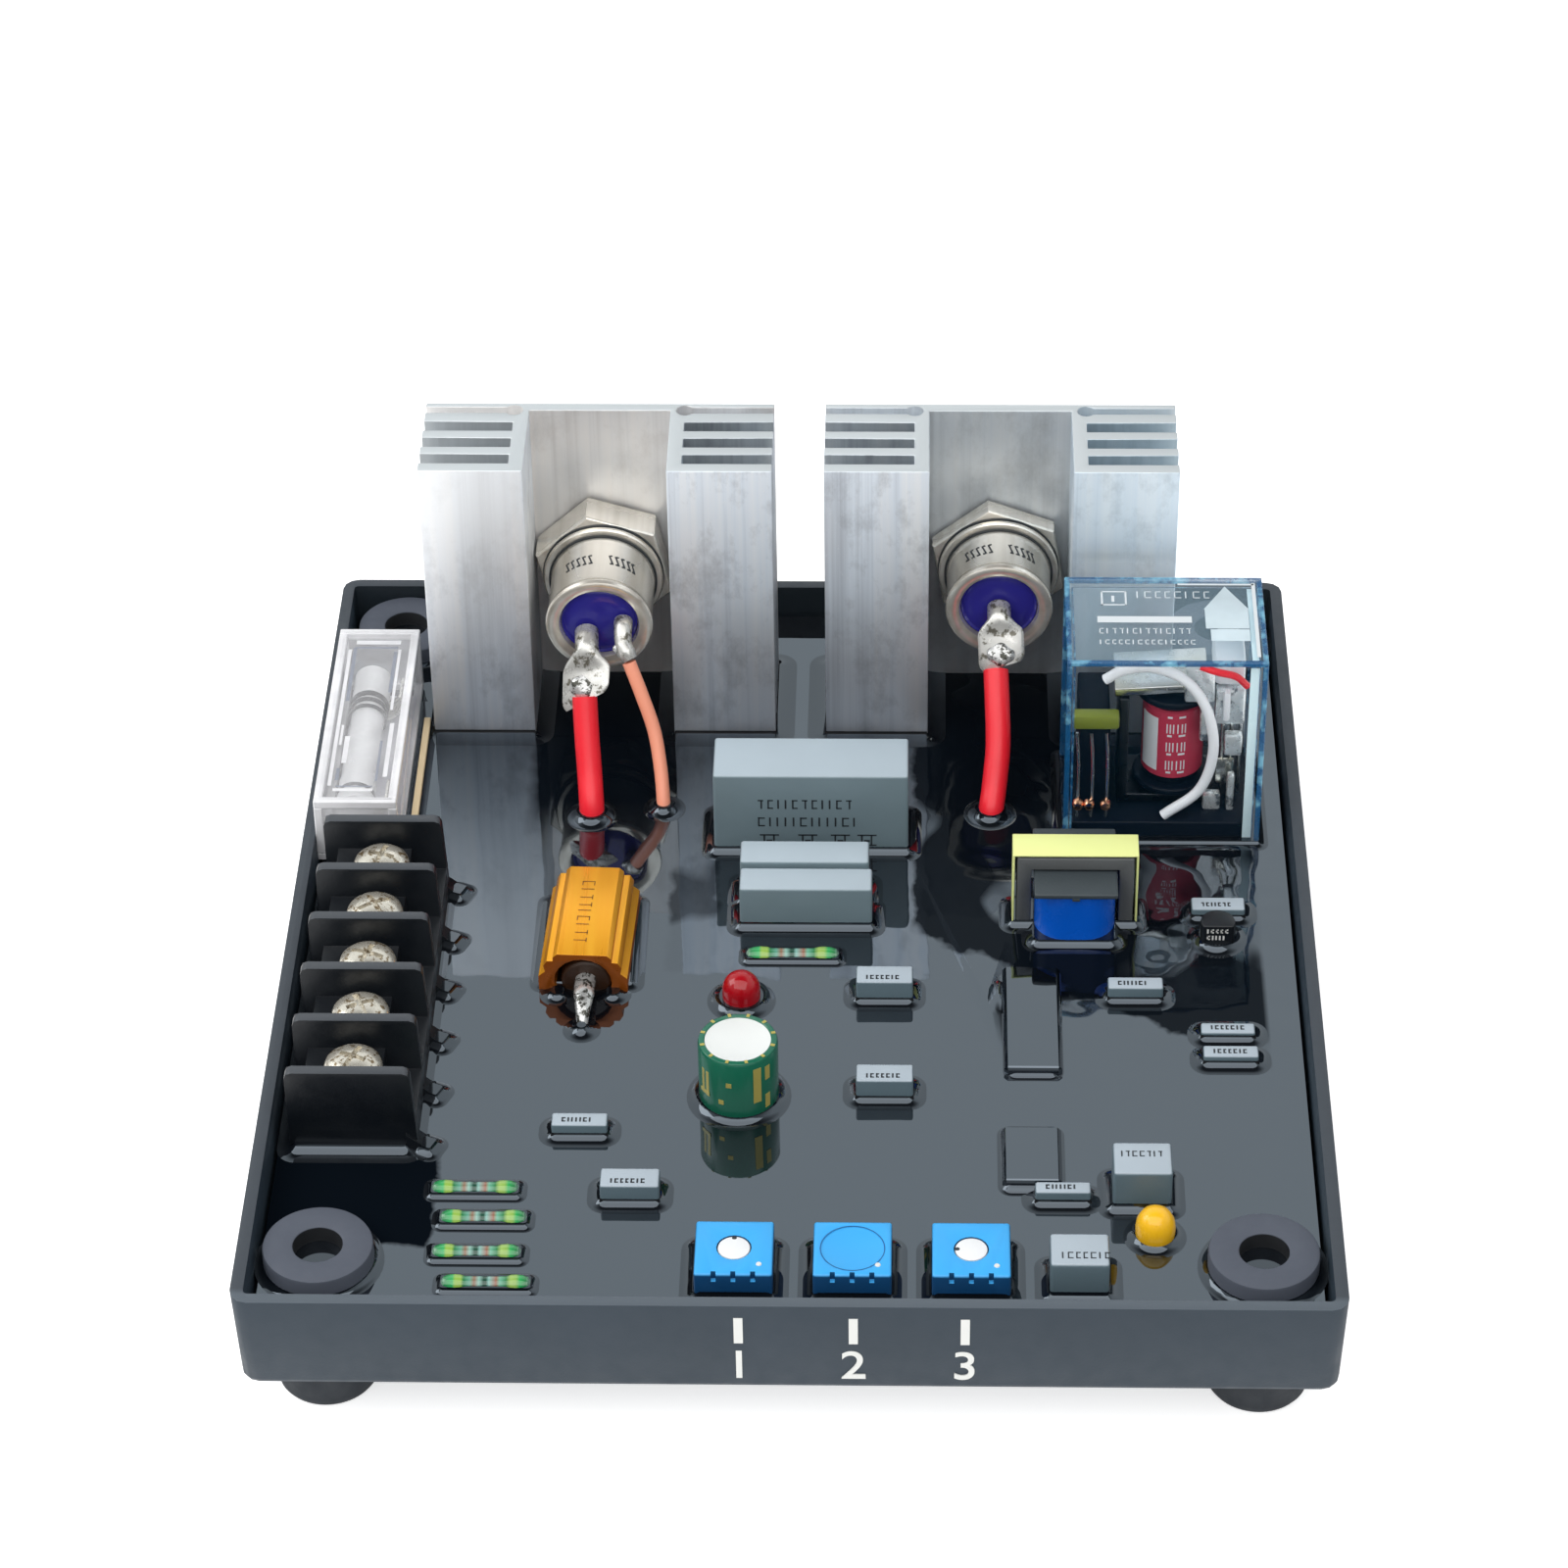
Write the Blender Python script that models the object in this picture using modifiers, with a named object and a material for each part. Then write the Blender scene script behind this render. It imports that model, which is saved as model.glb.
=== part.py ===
"""Automatic voltage regulator: a potted control module in an open plastic tray.

The tray is filled with resin, and the components stand out of it. Units are metres. +Z is up, the trimmers
and the marked wall face -Y, and the origin is at the centre of the footprint, level with the feet's soles.
"""

import math

import bmesh
import bpy
from mathutils import Matrix, Vector

# Clearances
GAP = 0.0003  # between pieces that touch
TURN_GAP = 0.00015  # round a piece that turns

# Tray
TRAY_WIDTH = 0.135
TRAY_DEPTH = 0.150
TRAY_HEIGHT = 0.0142
TRAY_WALL = 0.0016
TRAY_CORNER = 0.0022
TRAY_EDGE = 0.0009
TRAY_DRAFT = 0.0005

# Feet: rubber grommets that clip through the tray's floor
FOOT_HEIGHT = 0.0093
FOOT_RADIUS = 0.0064
FOOT_EDGE = 0.0011
RING_RADIUS = 0.00685
RING_BELOW_RIM = 0.0015
RING_EDGE = 0.0003
NECK_RADIUS = 0.0048
BOLT_HOLE_RADIUS = 0.0030
FOOT_INSET_SIDE = 0.0096
FOOT_INSET_FRONT = 0.0120
FOOT_INSET_REAR = 0.0088

# Board and resin
BOARD_THICKNESS = 0.0016
BOARD_STANDOFF = 0.0024
STANDOFF_RADIUS = 0.0025
STANDOFF_INSET = 0.022
RESIN_THICKNESS = 0.0035
RESIN_SKIN = 0.0006

# Heat sinks: aluminium extrusions with a channel for the stud devices
SINK_WIDTH = 0.0478
SINK_DEPTH = 0.0165
SINK_HEIGHT = 0.0480
SINK_SPACING = 0.0548
SINK_OFFSET = -0.0009
SINK_INSET_REAR = 0.0143
CHANNEL_WIDTH = 0.0194
CHANNEL_WEB = 0.0016
CHANNEL_WALL = 0.0020
FIN_GAPS = 4
FIN_PITCH = 0.00395
FIN_GAP = 0.0022
FIN_GAP_REAR = 0.0014
FIN_FIRST = 0.0030
SCREW_SLOT_RADIUS = 0.0012

# Stud devices: thyristor on the left sink, diode on the right
HEX_FLATS = 0.0170
THYRISTOR_HEX_THICKNESS = 0.0052
DIODE_HEX_THICKNESS = 0.0028
COLLAR_RADIUS = 0.00815
COLLAR_THICKNESS = 0.0017
COLLAR_GROOVE = 0.0003
CAN_RADIUS = 0.00695
THYRISTOR_CAN_LENGTH = 0.0096
DIODE_CAN_LENGTH = 0.0075
LIP_RADIUS = 0.00715
LIP_THICKNESS = 0.0006
SEAL_RADIUS = 0.0054
SEAL_THICKNESS = 0.0011
SEAL_RECESS = 0.0009
STUD_RADIUS = 0.0030
STUD_LENGTH = 0.0095
NUT_FLATS = 0.0100
NUT_THICKNESS = 0.0045
THYRISTOR_AXIS = 0.0243
DIODE_AXIS = 0.0239
THYRISTOR_TURN = math.radians(12.6)
DIODE_TURN = math.radians(9.0)
NECK_TUBE_RADIUS = 0.0014
LUG_THICKNESS = 0.0008
LEAD_RADIUS = 0.00172
GATE_LEAD_RADIUS = 0.0010

# Relay in a clear cover
RELAY_WIDTH = 0.0266
RELAY_DEPTH = 0.0196
RELAY_HEIGHT = 0.0340
RELAY_WALL = 0.0009
RELAY_CORNER = 0.0008
RELAY_INSET_RIGHT = 0.0042
RELAY_INSET_REAR = 0.0352
RELAY_BASE_HEIGHT = 0.0063
COIL_RADIUS = 0.0046
COIL_FLANGE_RADIUS = 0.0053
COIL_FLANGE = 0.0010
COIL_HEIGHT = 0.0155
YOKE_THICKNESS = 0.0013
YOKE_DEPTH = 0.0090
YOKE_WIDTH = 0.0130
ARMATURE_LENGTH = 0.0125
ARMATURE_OPEN = math.radians(4.0)

# Fuse holder with a clear cover
FUSE_COVER_WIDTH = 0.0112
FUSE_COVER_LENGTH = 0.0395
FUSE_COVER_HEIGHT = 0.0100
FUSE_COVER_WALL = 0.0008
FUSE_BASE_LENGTH = 0.0345
FUSE_BASE_HEIGHT = 0.0050
FUSE_FLANGE = 0.0012
FUSE_FOOT_LENGTH = 0.0307
FUSE_INSET_LEFT = 0.0006
FUSE_BEHIND_TERMINALS = 0.0055
FUSE_RADIUS = 0.0026
FUSE_GLASS_RADIUS = 0.0023
FUSE_LENGTH = 0.0300
FUSE_CAP = 0.0060
CLIP_THICKNESS = 0.0004
CLIP_LENGTH = 0.0045
CLIP_OPENING = math.radians(70.0)

# Terminal block
POLES = 5
POLE_PITCH = 0.01015
BARRIER_THICKNESS = 0.0015
BARRIER_WIDTH = 0.0158
BARRIER_HEIGHT = 0.0160
BARRIER_TAPER = 0.0007
BARRIER_CORNER = 0.0009
BLOCK_BASE_HEIGHT = 0.0080
BLOCK_FOOT = 0.0013
BLOCK_FOOT_HEIGHT = 0.0062
BLOCK_FOOT_RISE = 0.0005
PEDESTAL_WIDTH = 0.0098
PEDESTAL_HEIGHT = 0.0114
BLOCK_INSET_LEFT = 0.0026
BLOCK_CENTRE_Y = -0.01615
SCREW_HEAD_RADIUS = 0.0037
SCREW_HEAD_HEIGHT = 0.0024
SCREW_SHANK_RADIUS = 0.0016
SCREW_SHANK_LENGTH = 0.0070
SCREW_SLOT_WIDTH = 0.0008
SCREW_SLOT_DEPTH = 0.0010
SCREW_FROM_LEFT = 0.0077

# Trimmers
TRIMMER_SIDE = 0.0096
TRIMMER_HEIGHT = 0.0079
TRIMMER_EDGE = 0.00035
TRIMMER_PITCH = 0.01445
TRIMMER_CENTRE_X = 0.0077
TRIMMER_INSET_FRONT = 0.0104
TRIMMER_NOTCH = 0.0006
TRIMMER_NOTCH_PITCH = 0.0024
ROTOR_RADIUS = 0.0020
ROTOR_HEIGHT = 0.0025
ROTOR_NOTCH = 0.0003
ROTOR_SLOT_WIDTH = 0.0005
ROTOR_SLOT_DEPTH = 0.0003
SEALED_RADIUS = 0.0040
SEALED_GROOVE = 0.0001

# Aluminium-cased resistor
CASED_LENGTH = 0.0184
CASED_WIDTH = 0.0117
CASED_HEIGHT = 0.0096
CASED_TOP_WIDTH = 0.0065
CASED_BORE_RADIUS = 0.0038
CASED_AXIS = 0.0050
CASED_TURN = math.radians(-2.5)
CASED_PLACE = (-0.425, -0.029)
TAB_WIDTH = 0.0026
TAB_THICKNESS = 0.0007
TAB_LENGTH = 0.0080

# Small ferrite transformer
CORE_WIDTH = 0.0166
CORE_DEPTH = 0.0046
CORE_HEIGHT = 0.0155
CORE_LEG = 0.0019
TAPE_THICKNESS = 0.0003
WINDING_WIDTH = 0.0107
WINDING_DEPTH = 0.0128
WINDING_HEIGHT = 0.0116
BOBBIN_FLANGE = 0.0008
BOBBIN_WIDTH = 0.0117
BOBBIN_DEPTH = 0.0142
TRANSFORMER_PLACE = (0.553, 0.067)

# Capacitors: width, depth and height above the board, and place as shares of the tray's inner half sides
BOX_CAPACITORS = {
    "main_capacitor": ((0.0263, 0.0087, 0.0166), (0.016, 0.304)),
    "front_capacitor": ((0.0176, 0.0047, 0.0102), (0.010, 0.056)),
    "rear_capacitor": ((0.0172, 0.0047, 0.0107), (0.006, 0.127)),
    "output_capacitor": ((0.0073, 0.0059, 0.0096), (0.662, -0.681)),
    "corner_capacitor": ((0.0072, 0.0057, 0.0091), (0.538, -0.899)),
}
BOX_CAPACITOR_EDGE = 0.0003
FILM_CAPACITORS = (
    ((0.0073, 0.0035, 0.0070), (0.171, -0.159)),
    ((0.0073, 0.0034, 0.0069), (0.173, -0.424)),
    ((0.0071, 0.0025, 0.0057), (-0.414, -0.531)),
    ((0.0073, 0.0035, 0.0065), (-0.308, -0.691)),
    ((0.0071, 0.0024, 0.0059), (0.669, -0.161)),
    ((0.0071, 0.0027, 0.0053), (0.845, 0.073)),
    ((0.0070, 0.0021, 0.0048), (0.848, -0.266)),
    ((0.0071, 0.0023, 0.0051), (0.850, -0.333)),
    ((0.0069, 0.0021, 0.0056), (0.513, -0.696)),
)
CAN_CAPACITOR_RADIUS = 0.0051
CAN_CAPACITOR_HEIGHT = 0.0132
CAN_CAPACITOR_PLACE = (-0.110, -0.436)
BEAD_RADIUS = 0.00245
BEAD_HEIGHT = 0.0080
BEAD_PLACE = (0.684, -0.787)

# Axial resistors: length, and place as shares of the tray's inner half sides
AXIAL_RESISTORS = (
    (0.0110, (-0.604, -0.684)),
    (0.0109, (-0.582, -0.758)),
    (0.0111, (-0.588, -0.843)),
    (0.0111, (-0.566, -0.917)),
    (0.0123, (-0.015, -0.056)),
)
AXIAL_END_RADIUS = 0.00125
AXIAL_WAIST_RADIUS = 0.00105
AXIAL_HEIGHT = 0.0037
AXIAL_LEG_RADIUS = 0.0004

# Other small parts
LED_RADIUS = 0.0025
LED_HEIGHT = 0.0081
LED_PLACE = (-0.114, -0.179)
TRANSISTOR_RADIUS = 0.0023
TRANSISTOR_HEIGHT = 0.0071
TRANSISTOR_FLAT = 0.0012
TRANSISTOR_PLACE = (0.840, -0.007)
CHIPS = (
    ((0.0063, 0.0195, 0.0036), (0.463, -0.237)),
    ((0.0063, 0.0094, 0.0036), (0.456, -0.598)),
)
CHIP_PAD_EDGE = 0.0005
DISC_BUMP_SIZE = (0.0028, 0.0080, 0.0016)
DISC_BUMP_PLACE = (0.396, -0.167)

# Levels and half sides that follow from the sizes above
TRAY_BASE = FOOT_HEIGHT
RIM_LEVEL = TRAY_BASE + TRAY_HEIGHT
FLOOR_LEVEL = TRAY_BASE + TRAY_WALL
BOARD_BASE = FLOOR_LEVEL + BOARD_STANDOFF + GAP
BOARD_TOP = BOARD_BASE + BOARD_THICKNESS
SEAT = BOARD_TOP + GAP  # where the components and the resin stand
RESIN_LEVEL = SEAT + RESIN_THICKNESS
INNER_X = TRAY_WIDTH / 2 - TRAY_WALL
INNER_Y = TRAY_DEPTH / 2 - TRAY_WALL
PLACE_X = INNER_X - GAP
PLACE_Y = INNER_Y - GAP
BOARD_X = PLACE_X - TRAY_DRAFT
BOARD_Y = PLACE_Y - TRAY_DRAFT
SINK_REAR = TRAY_DEPTH / 2 - SINK_INSET_REAR
CHANNEL_FACE = SINK_REAR - CHANNEL_WEB
BLOCK_LENGTH = POLES * POLE_PITCH + BARRIER_THICKNESS
BLOCK_FRONT = BLOCK_CENTRE_Y - BLOCK_LENGTH / 2
BLOCK_LEFT = -INNER_X + BLOCK_INSET_LEFT
FUSE_FRONT = BLOCK_CENTRE_Y + BLOCK_LENGTH / 2 + FUSE_BEHIND_TERMINALS
FUSE_LEFT = -INNER_X + FUSE_INSET_LEFT
ROUND_STEPS = 20
SMALL_STEPS = 12


# Scene and helpers

def clear_scene():
    for obj in list(bpy.data.objects):
        bpy.data.objects.remove(obj, do_unlink=True)


def new_collection(name):
    collection = bpy.data.collections.new(name)
    bpy.context.scene.collection.children.link(collection)
    return collection


def new_material(name, colour, roughness, metallic=0.0, alpha=1.0):
    material = bpy.data.materials.new(name)
    material.use_nodes = True
    shader = material.node_tree.nodes["Principled BSDF"]
    shader.inputs["Base Color"].default_value = (*colour, 1.0)
    shader.inputs["Roughness"].default_value = roughness
    shader.inputs["Metallic"].default_value = metallic
    shader.inputs["Alpha"].default_value = alpha
    return material


def add_mesh(name, bm, material, location=(0, 0, 0), rotation=(0, 0, 0), smooth=False, collection=None):
    """Turns a bmesh into a placed object. With no collection given it joins the object's parts."""
    bmesh.ops.recalc_face_normals(bm, faces=bm.faces)
    mesh = bpy.data.meshes.new(name)
    bm.to_mesh(mesh)
    bm.free()
    if smooth:
        mesh.shade_smooth()
        mesh.set_sharp_from_angle(angle=math.radians(35))
    if material:
        mesh.materials.append(material)
    obj = bpy.data.objects.new(name, mesh)
    obj.location = location
    obj.rotation_euler = rotation
    (collection or parts).objects.link(obj)
    return obj


def hide_helper(obj):
    obj.hide_render = True
    obj.display_type = "WIRE"
    return obj


def block(bm, size, base=(0, 0, 0)):
    """A box whose lower face is centred on base."""
    centre = Vector(base) + Vector((0, 0, size[2] / 2))
    made = bmesh.ops.create_cube(bm, size=1.0, matrix=Matrix.LocRotScale(centre, None, Vector(size)))
    return made["verts"]


def rod(bm, radius, height, base=(0, 0, 0), steps=ROUND_STEPS, turn=0.0):
    """A cylinder or a prism whose lower face is centred on base."""
    centre = Vector(base) + Vector((0, 0, height / 2))
    matrix = Matrix.Translation(centre) @ Matrix.Rotation(turn, 4, "Z")
    made = bmesh.ops.create_cone(
        bm, cap_ends=True, segments=steps, radius1=radius, radius2=radius, depth=height, matrix=matrix
    )
    return made["verts"]


def round_edges(bm, verts, width, steps=2, keep=lambda edge: True):
    edges = {edge for vert in verts for edge in vert.link_edges if keep(edge)}
    bmesh.ops.bevel(bm, geom=list(edges), offset=width, segments=steps, affect="EDGES", profile=0.5)


def is_upright(edge):
    step = edge.verts[0].co - edge.verts[1].co
    return abs(step.z) > 0.9 * step.length


def box_part(name, size, location, material, edge=0.0):
    """A box-shaped part that stands at location, with every edge but the lower ones rounded."""
    bm = bmesh.new()
    verts = block(bm, size)
    if edge:
        round_edges(bm, verts, edge, 2, lambda e: max(v.co.z for v in e.verts) > size[2] / 2)
    return add_mesh(name, bm, material, location)


def turned(name, profile, material, location, rotation=(0, 0, 0), steps=ROUND_STEPS, closed=False):
    """Revolves (radius, height) points, listed down the outer side, about Z."""
    mesh = bpy.data.meshes.new(name)
    points = [(radius, 0.0, height) for radius, height in profile]
    edges = [(i, i + 1) for i in range(len(points) - 1)]
    if closed:
        edges.append((len(points) - 1, 0))
    mesh.from_pydata(points, edges, [])
    mesh.materials.append(material)
    obj = bpy.data.objects.new(name, mesh)
    obj.location = location
    obj.rotation_euler = rotation
    parts.objects.link(obj)
    screw = obj.modifiers.new("Turn", "SCREW")
    screw.steps = steps
    screw.render_steps = steps
    screw.use_merge_vertices = True
    screw.merge_threshold = 0.00001
    screw.use_smooth_shade = True
    return obj


def arc(radius, start, end, steps, centre=(0.0, 0.0)):
    """Points on an arc, angles in radians."""
    angles = [start + (end - start) * i / steps for i in range(steps + 1)]
    return [(centre[0] + radius * math.cos(a), centre[1] + radius * math.sin(a)) for a in angles]


def extruded(name, outline, thickness, material, location, rotation=(0, 0, 0)):
    """A flat outline made into a plate from local z = 0 up, as a mesh that can be cut."""
    curve = bpy.data.curves.new(name, "CURVE")
    curve.dimensions = "2D"
    curve.fill_mode = "BOTH"
    curve.extrude = thickness / 2
    spline = curve.splines.new("POLY")
    spline.points.add(len(outline) - 1)
    for point, (x, y) in zip(spline.points, outline):
        point.co = (x, y, 0.0, 1.0)
    spline.use_cyclic_u = True
    obj = mesh_from_curve(name, curve, material, Matrix.Translation((0, 0, thickness / 2)))
    obj.location = location
    obj.rotation_euler = rotation
    return obj


def mesh_from_curve(name, curve, material, shift=Matrix.Identity(4)):
    """Makes a mesh object from curve data, with the caps welded to the sides."""
    guide = bpy.data.objects.new(name + "_guide", curve)
    parts.objects.link(guide)
    bpy.context.view_layer.update()
    made = bpy.data.meshes.new_from_object(guide.evaluated_get(bpy.context.evaluated_depsgraph_get()))
    bpy.data.objects.remove(guide, do_unlink=True)
    bm = bmesh.new()
    bm.from_mesh(made)
    bpy.data.meshes.remove(made)
    bmesh.ops.remove_doubles(bm, verts=bm.verts, dist=0.000001)
    bmesh.ops.transform(bm, matrix=shift, verts=bm.verts)
    return add_mesh(name, bm, material)


def smooth_route(points, steps):
    """Points of a Catmull-Rom curve through the given ones."""
    points = [Vector(p) for p in points]
    padded = [2 * points[0] - points[1], *points, 2 * points[-1] - points[-2]]
    route = []
    for a, b, c, d in zip(padded, padded[1:], padded[2:], padded[3:]):
        for i in range(steps):
            t = i / steps
            route.append(
                0.5 * (2 * b + (c - a) * t + (2 * a - 5 * b + 4 * c - d) * t**2 + (3 * b - a - 3 * c + d) * t**3)
            )
    route.append(points[-1])
    return route


def tube_curve(name, route, radius, sides=2):
    curve = bpy.data.curves.new(name, "CURVE")
    curve.dimensions = "3D"
    curve.bevel_depth = radius
    curve.bevel_resolution = sides
    curve.use_fill_caps = True
    spline = curve.splines.new("POLY")
    spline.points.add(len(route) - 1)
    for point, place in zip(spline.points, route):
        point.co = (*place, 1.0)
    return curve


def lead(name, points, radius, material):
    """An insulated wire along a smooth route, left as a curve object."""
    curve = tube_curve(name, smooth_route(points, 3), radius)
    curve.materials.append(material)
    obj = bpy.data.objects.new(name, curve)
    parts.objects.link(obj)
    return obj


def combine(target, other, operation):
    """Cuts a hidden helper out of target, or joins it to target."""
    if other.name in parts.objects:
        parts.objects.unlink(other)
        cutters.objects.link(other)
    hide_helper(other)
    modifier = target.modifiers.new(other.name, "BOOLEAN")
    modifier.operation = operation
    modifier.object = other


def cut(target, other):
    combine(target, other, "DIFFERENCE")


def join(target, other):
    combine(target, other, "UNION")


def attach(child, parent):
    child.parent = parent
    return child


def empty(name, location, rotation=(0, 0, 0)):
    obj = bpy.data.objects.new(name, None)
    obj.location = location
    obj.rotation_euler = rotation
    obj.empty_display_size = 0.005
    parts.objects.link(obj)
    return obj


def on_board(place, level=None):
    """A place given as shares of the tray's inner half sides, as a point at the seat or another level."""
    return Vector((place[0] * PLACE_X, place[1] * PLACE_Y, SEAT if level is None else level))


def pocket_box(name, size, centre, top=None, turn=0.0):
    """Room in the resin for a box-shaped part, open below and, with no top given, above."""
    low = SEAT - 0.001
    high = RIM_LEVEL if top is None else top
    bm = bmesh.new()
    block(bm, (size[0] + 2 * GAP, size[1] + 2 * GAP, high - low))
    hide_helper(add_mesh("pocket_" + name, bm, None, (centre[0], centre[1], low), (0, 0, turn), collection=pockets))


def pocket_round(name, radius, centre, steps=ROUND_STEPS):
    """Room in the resin for a round part."""
    low = SEAT - 0.001
    bm = bmesh.new()
    rod(bm, radius + GAP, RIM_LEVEL - low, steps=steps)
    hide_helper(add_mesh("pocket_" + name, bm, None, (centre[0], centre[1], low), collection=pockets))


# Tray, feet, board and resin

def foot_places():
    """Name and centre of each of the four feet."""
    side = TRAY_WIDTH / 2 - FOOT_INSET_SIDE
    front = -TRAY_DEPTH / 2 + FOOT_INSET_FRONT
    rear = TRAY_DEPTH / 2 - FOOT_INSET_REAR
    return {
        "front_left": (-side, front),
        "front_right": (side, front),
        "rear_left": (-side, rear),
        "rear_right": (side, rear),
    }


def open_box(name, size, wall, corner, edge, draft, material, location, open_top=True):
    """A thin-walled box with one open side, its wall inside the given size. A rounding stays inside the wall."""
    open_z = size[2] if open_top else 0.0
    closed_z = size[2] - open_z
    outward = 1.0 if open_top else -1.0
    shapes = []
    for inset, round_corner, round_edge in ((0.0, corner, edge), (wall, corner - wall, edge - wall)):
        bm = bmesh.new()
        for vert in block(bm, size):
            half_x, half_y = size[0] / 2 - inset, size[1] / 2 - inset
            if abs(vert.co.z - open_z) > size[2] / 2:
                half_x, half_y = half_x - draft, half_y - draft
                vert.co.z = closed_z + outward * inset
            elif inset:
                half_x, half_y = half_x + draft * wall / size[2], half_y + draft * wall / size[2]
                vert.co.z = open_z + outward * wall
            vert.co.x = math.copysign(half_x, vert.co.x)
            vert.co.y = math.copysign(half_y, vert.co.y)
        if round_corner > 0:
            uprights = [e for e in bm.edges if abs(e.verts[0].co.z - e.verts[1].co.z) > size[2] / 2]
            bmesh.ops.bevel(bm, geom=uprights, offset=round_corner, segments=3, affect="EDGES", profile=0.5)
        if round_edge > 0:
            closed_end = [e for e in bm.edges if all(abs(v.co.z - open_z) > size[2] / 2 for v in e.verts)]
            bmesh.ops.bevel(bm, geom=closed_end, offset=round_edge, segments=2, affect="EDGES", profile=0.5)
        shapes.append(bm)
    obj = add_mesh(name, shapes[0], material, location)
    cut(obj, add_mesh(name + "_room", shapes[1], None, location))
    return obj


def make_tray(plastic):
    tray = open_box(
        "tray", (TRAY_WIDTH, TRAY_DEPTH, TRAY_HEIGHT), TRAY_WALL, TRAY_CORNER, TRAY_EDGE, TRAY_DRAFT,
        plastic, (0, 0, TRAY_BASE),
    )
    for name, (x, y) in foot_places().items():
        bm = bmesh.new()
        rod(bm, NECK_RADIUS + GAP, 4 * TRAY_WALL)
        cut(tray, add_mesh("floor_hole_" + name, bm, None, (x, y, TRAY_BASE - TRAY_WALL)))
    for i, (side_x, side_y) in enumerate(((-1, -1), (1, -1), (-1, 1), (1, 1))):
        x = side_x * (INNER_X - STANDOFF_INSET)
        y = side_y * (INNER_Y - STANDOFF_INSET)
        bm = bmesh.new()
        rod(bm, STANDOFF_RADIUS, TRAY_WALL / 2 + BOARD_STANDOFF, steps=SMALL_STEPS)
        join(tray, add_mesh(f"standoff_{i + 1}", bm, plastic, (x, y, FLOOR_LEVEL - TRAY_WALL / 2)))


def make_feet(rubber):
    """One rubber moulding at each corner: a ring inside the tray, a neck through its floor, and a foot below."""
    top = RIM_LEVEL - RING_BELOW_RIM
    shoulder = FLOOR_LEVEL + GAP
    profile = [
        (BOLT_HOLE_RADIUS, top),
        (RING_RADIUS - RING_EDGE, top),
        (RING_RADIUS, top - RING_EDGE),
        (RING_RADIUS - TRAY_DRAFT, shoulder),
        (NECK_RADIUS, shoulder),
        (NECK_RADIUS, TRAY_BASE - GAP),
        (FOOT_RADIUS, TRAY_BASE - GAP),
        (FOOT_RADIUS, FOOT_EDGE),
        (FOOT_RADIUS - 0.3 * FOOT_EDGE, 0.3 * FOOT_EDGE),
        (FOOT_RADIUS - FOOT_EDGE, 0.0),
        (BOLT_HOLE_RADIUS, 0.0),
    ]
    for name, (x, y) in foot_places().items():
        turned("grommet_" + name, profile, rubber, (x, y, 0), closed=True)
        pocket_round("grommet_" + name, RING_RADIUS, (x, y))
        if "rear" in name:
            notch = (1.9 * RING_RADIUS, INNER_Y - y + RING_RADIUS)
            pocket_box("notch_" + name, notch, (x, y + notch[1] / 2))


def make_resin(resin):
    """The potting: a slab over the board with room for all that stands out of it, raised over the chips."""
    bm = bmesh.new()
    verts = block(bm, (2 * BOARD_X, 2 * BOARD_Y, RESIN_THICKNESS))
    round_edges(bm, verts, TRAY_CORNER - TRAY_WALL + GAP, 2, is_upright)
    slab = add_mesh("potting_compound", bm, resin, (0, 0, SEAT))
    for i, ((width, depth, height), place) in enumerate(CHIPS):
        pad = height - RESIN_THICKNESS + 2 * RESIN_SKIN
        size = (width + 2 * RESIN_SKIN, depth + 2 * RESIN_SKIN, RESIN_THICKNESS / 2 + pad)
        bm = bmesh.new()
        verts = block(bm, size)
        round_edges(bm, verts, CHIP_PAD_EDGE, 1, lambda e: max(v.co.z for v in e.verts) > size[2] / 2)
        join(slab, add_mesh(f"chip_pad_{i + 1}", bm, resin, on_board(place, SEAT + RESIN_THICKNESS / 2)))
    bm = bmesh.new()
    bmesh.ops.create_uvsphere(bm, u_segments=SMALL_STEPS, v_segments=8, radius=0.5)
    bmesh.ops.scale(bm, vec=DISC_BUMP_SIZE, verts=bm.verts)
    join(slab, add_mesh("disc_bump", bm, resin, on_board(DISC_BUMP_PLACE, RESIN_LEVEL - GAP)))
    rooms = slab.modifiers.new("Rooms", "BOOLEAN")
    rooms.operation = "DIFFERENCE"
    rooms.operand_type = "COLLECTION"
    rooms.collection = pockets


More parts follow.
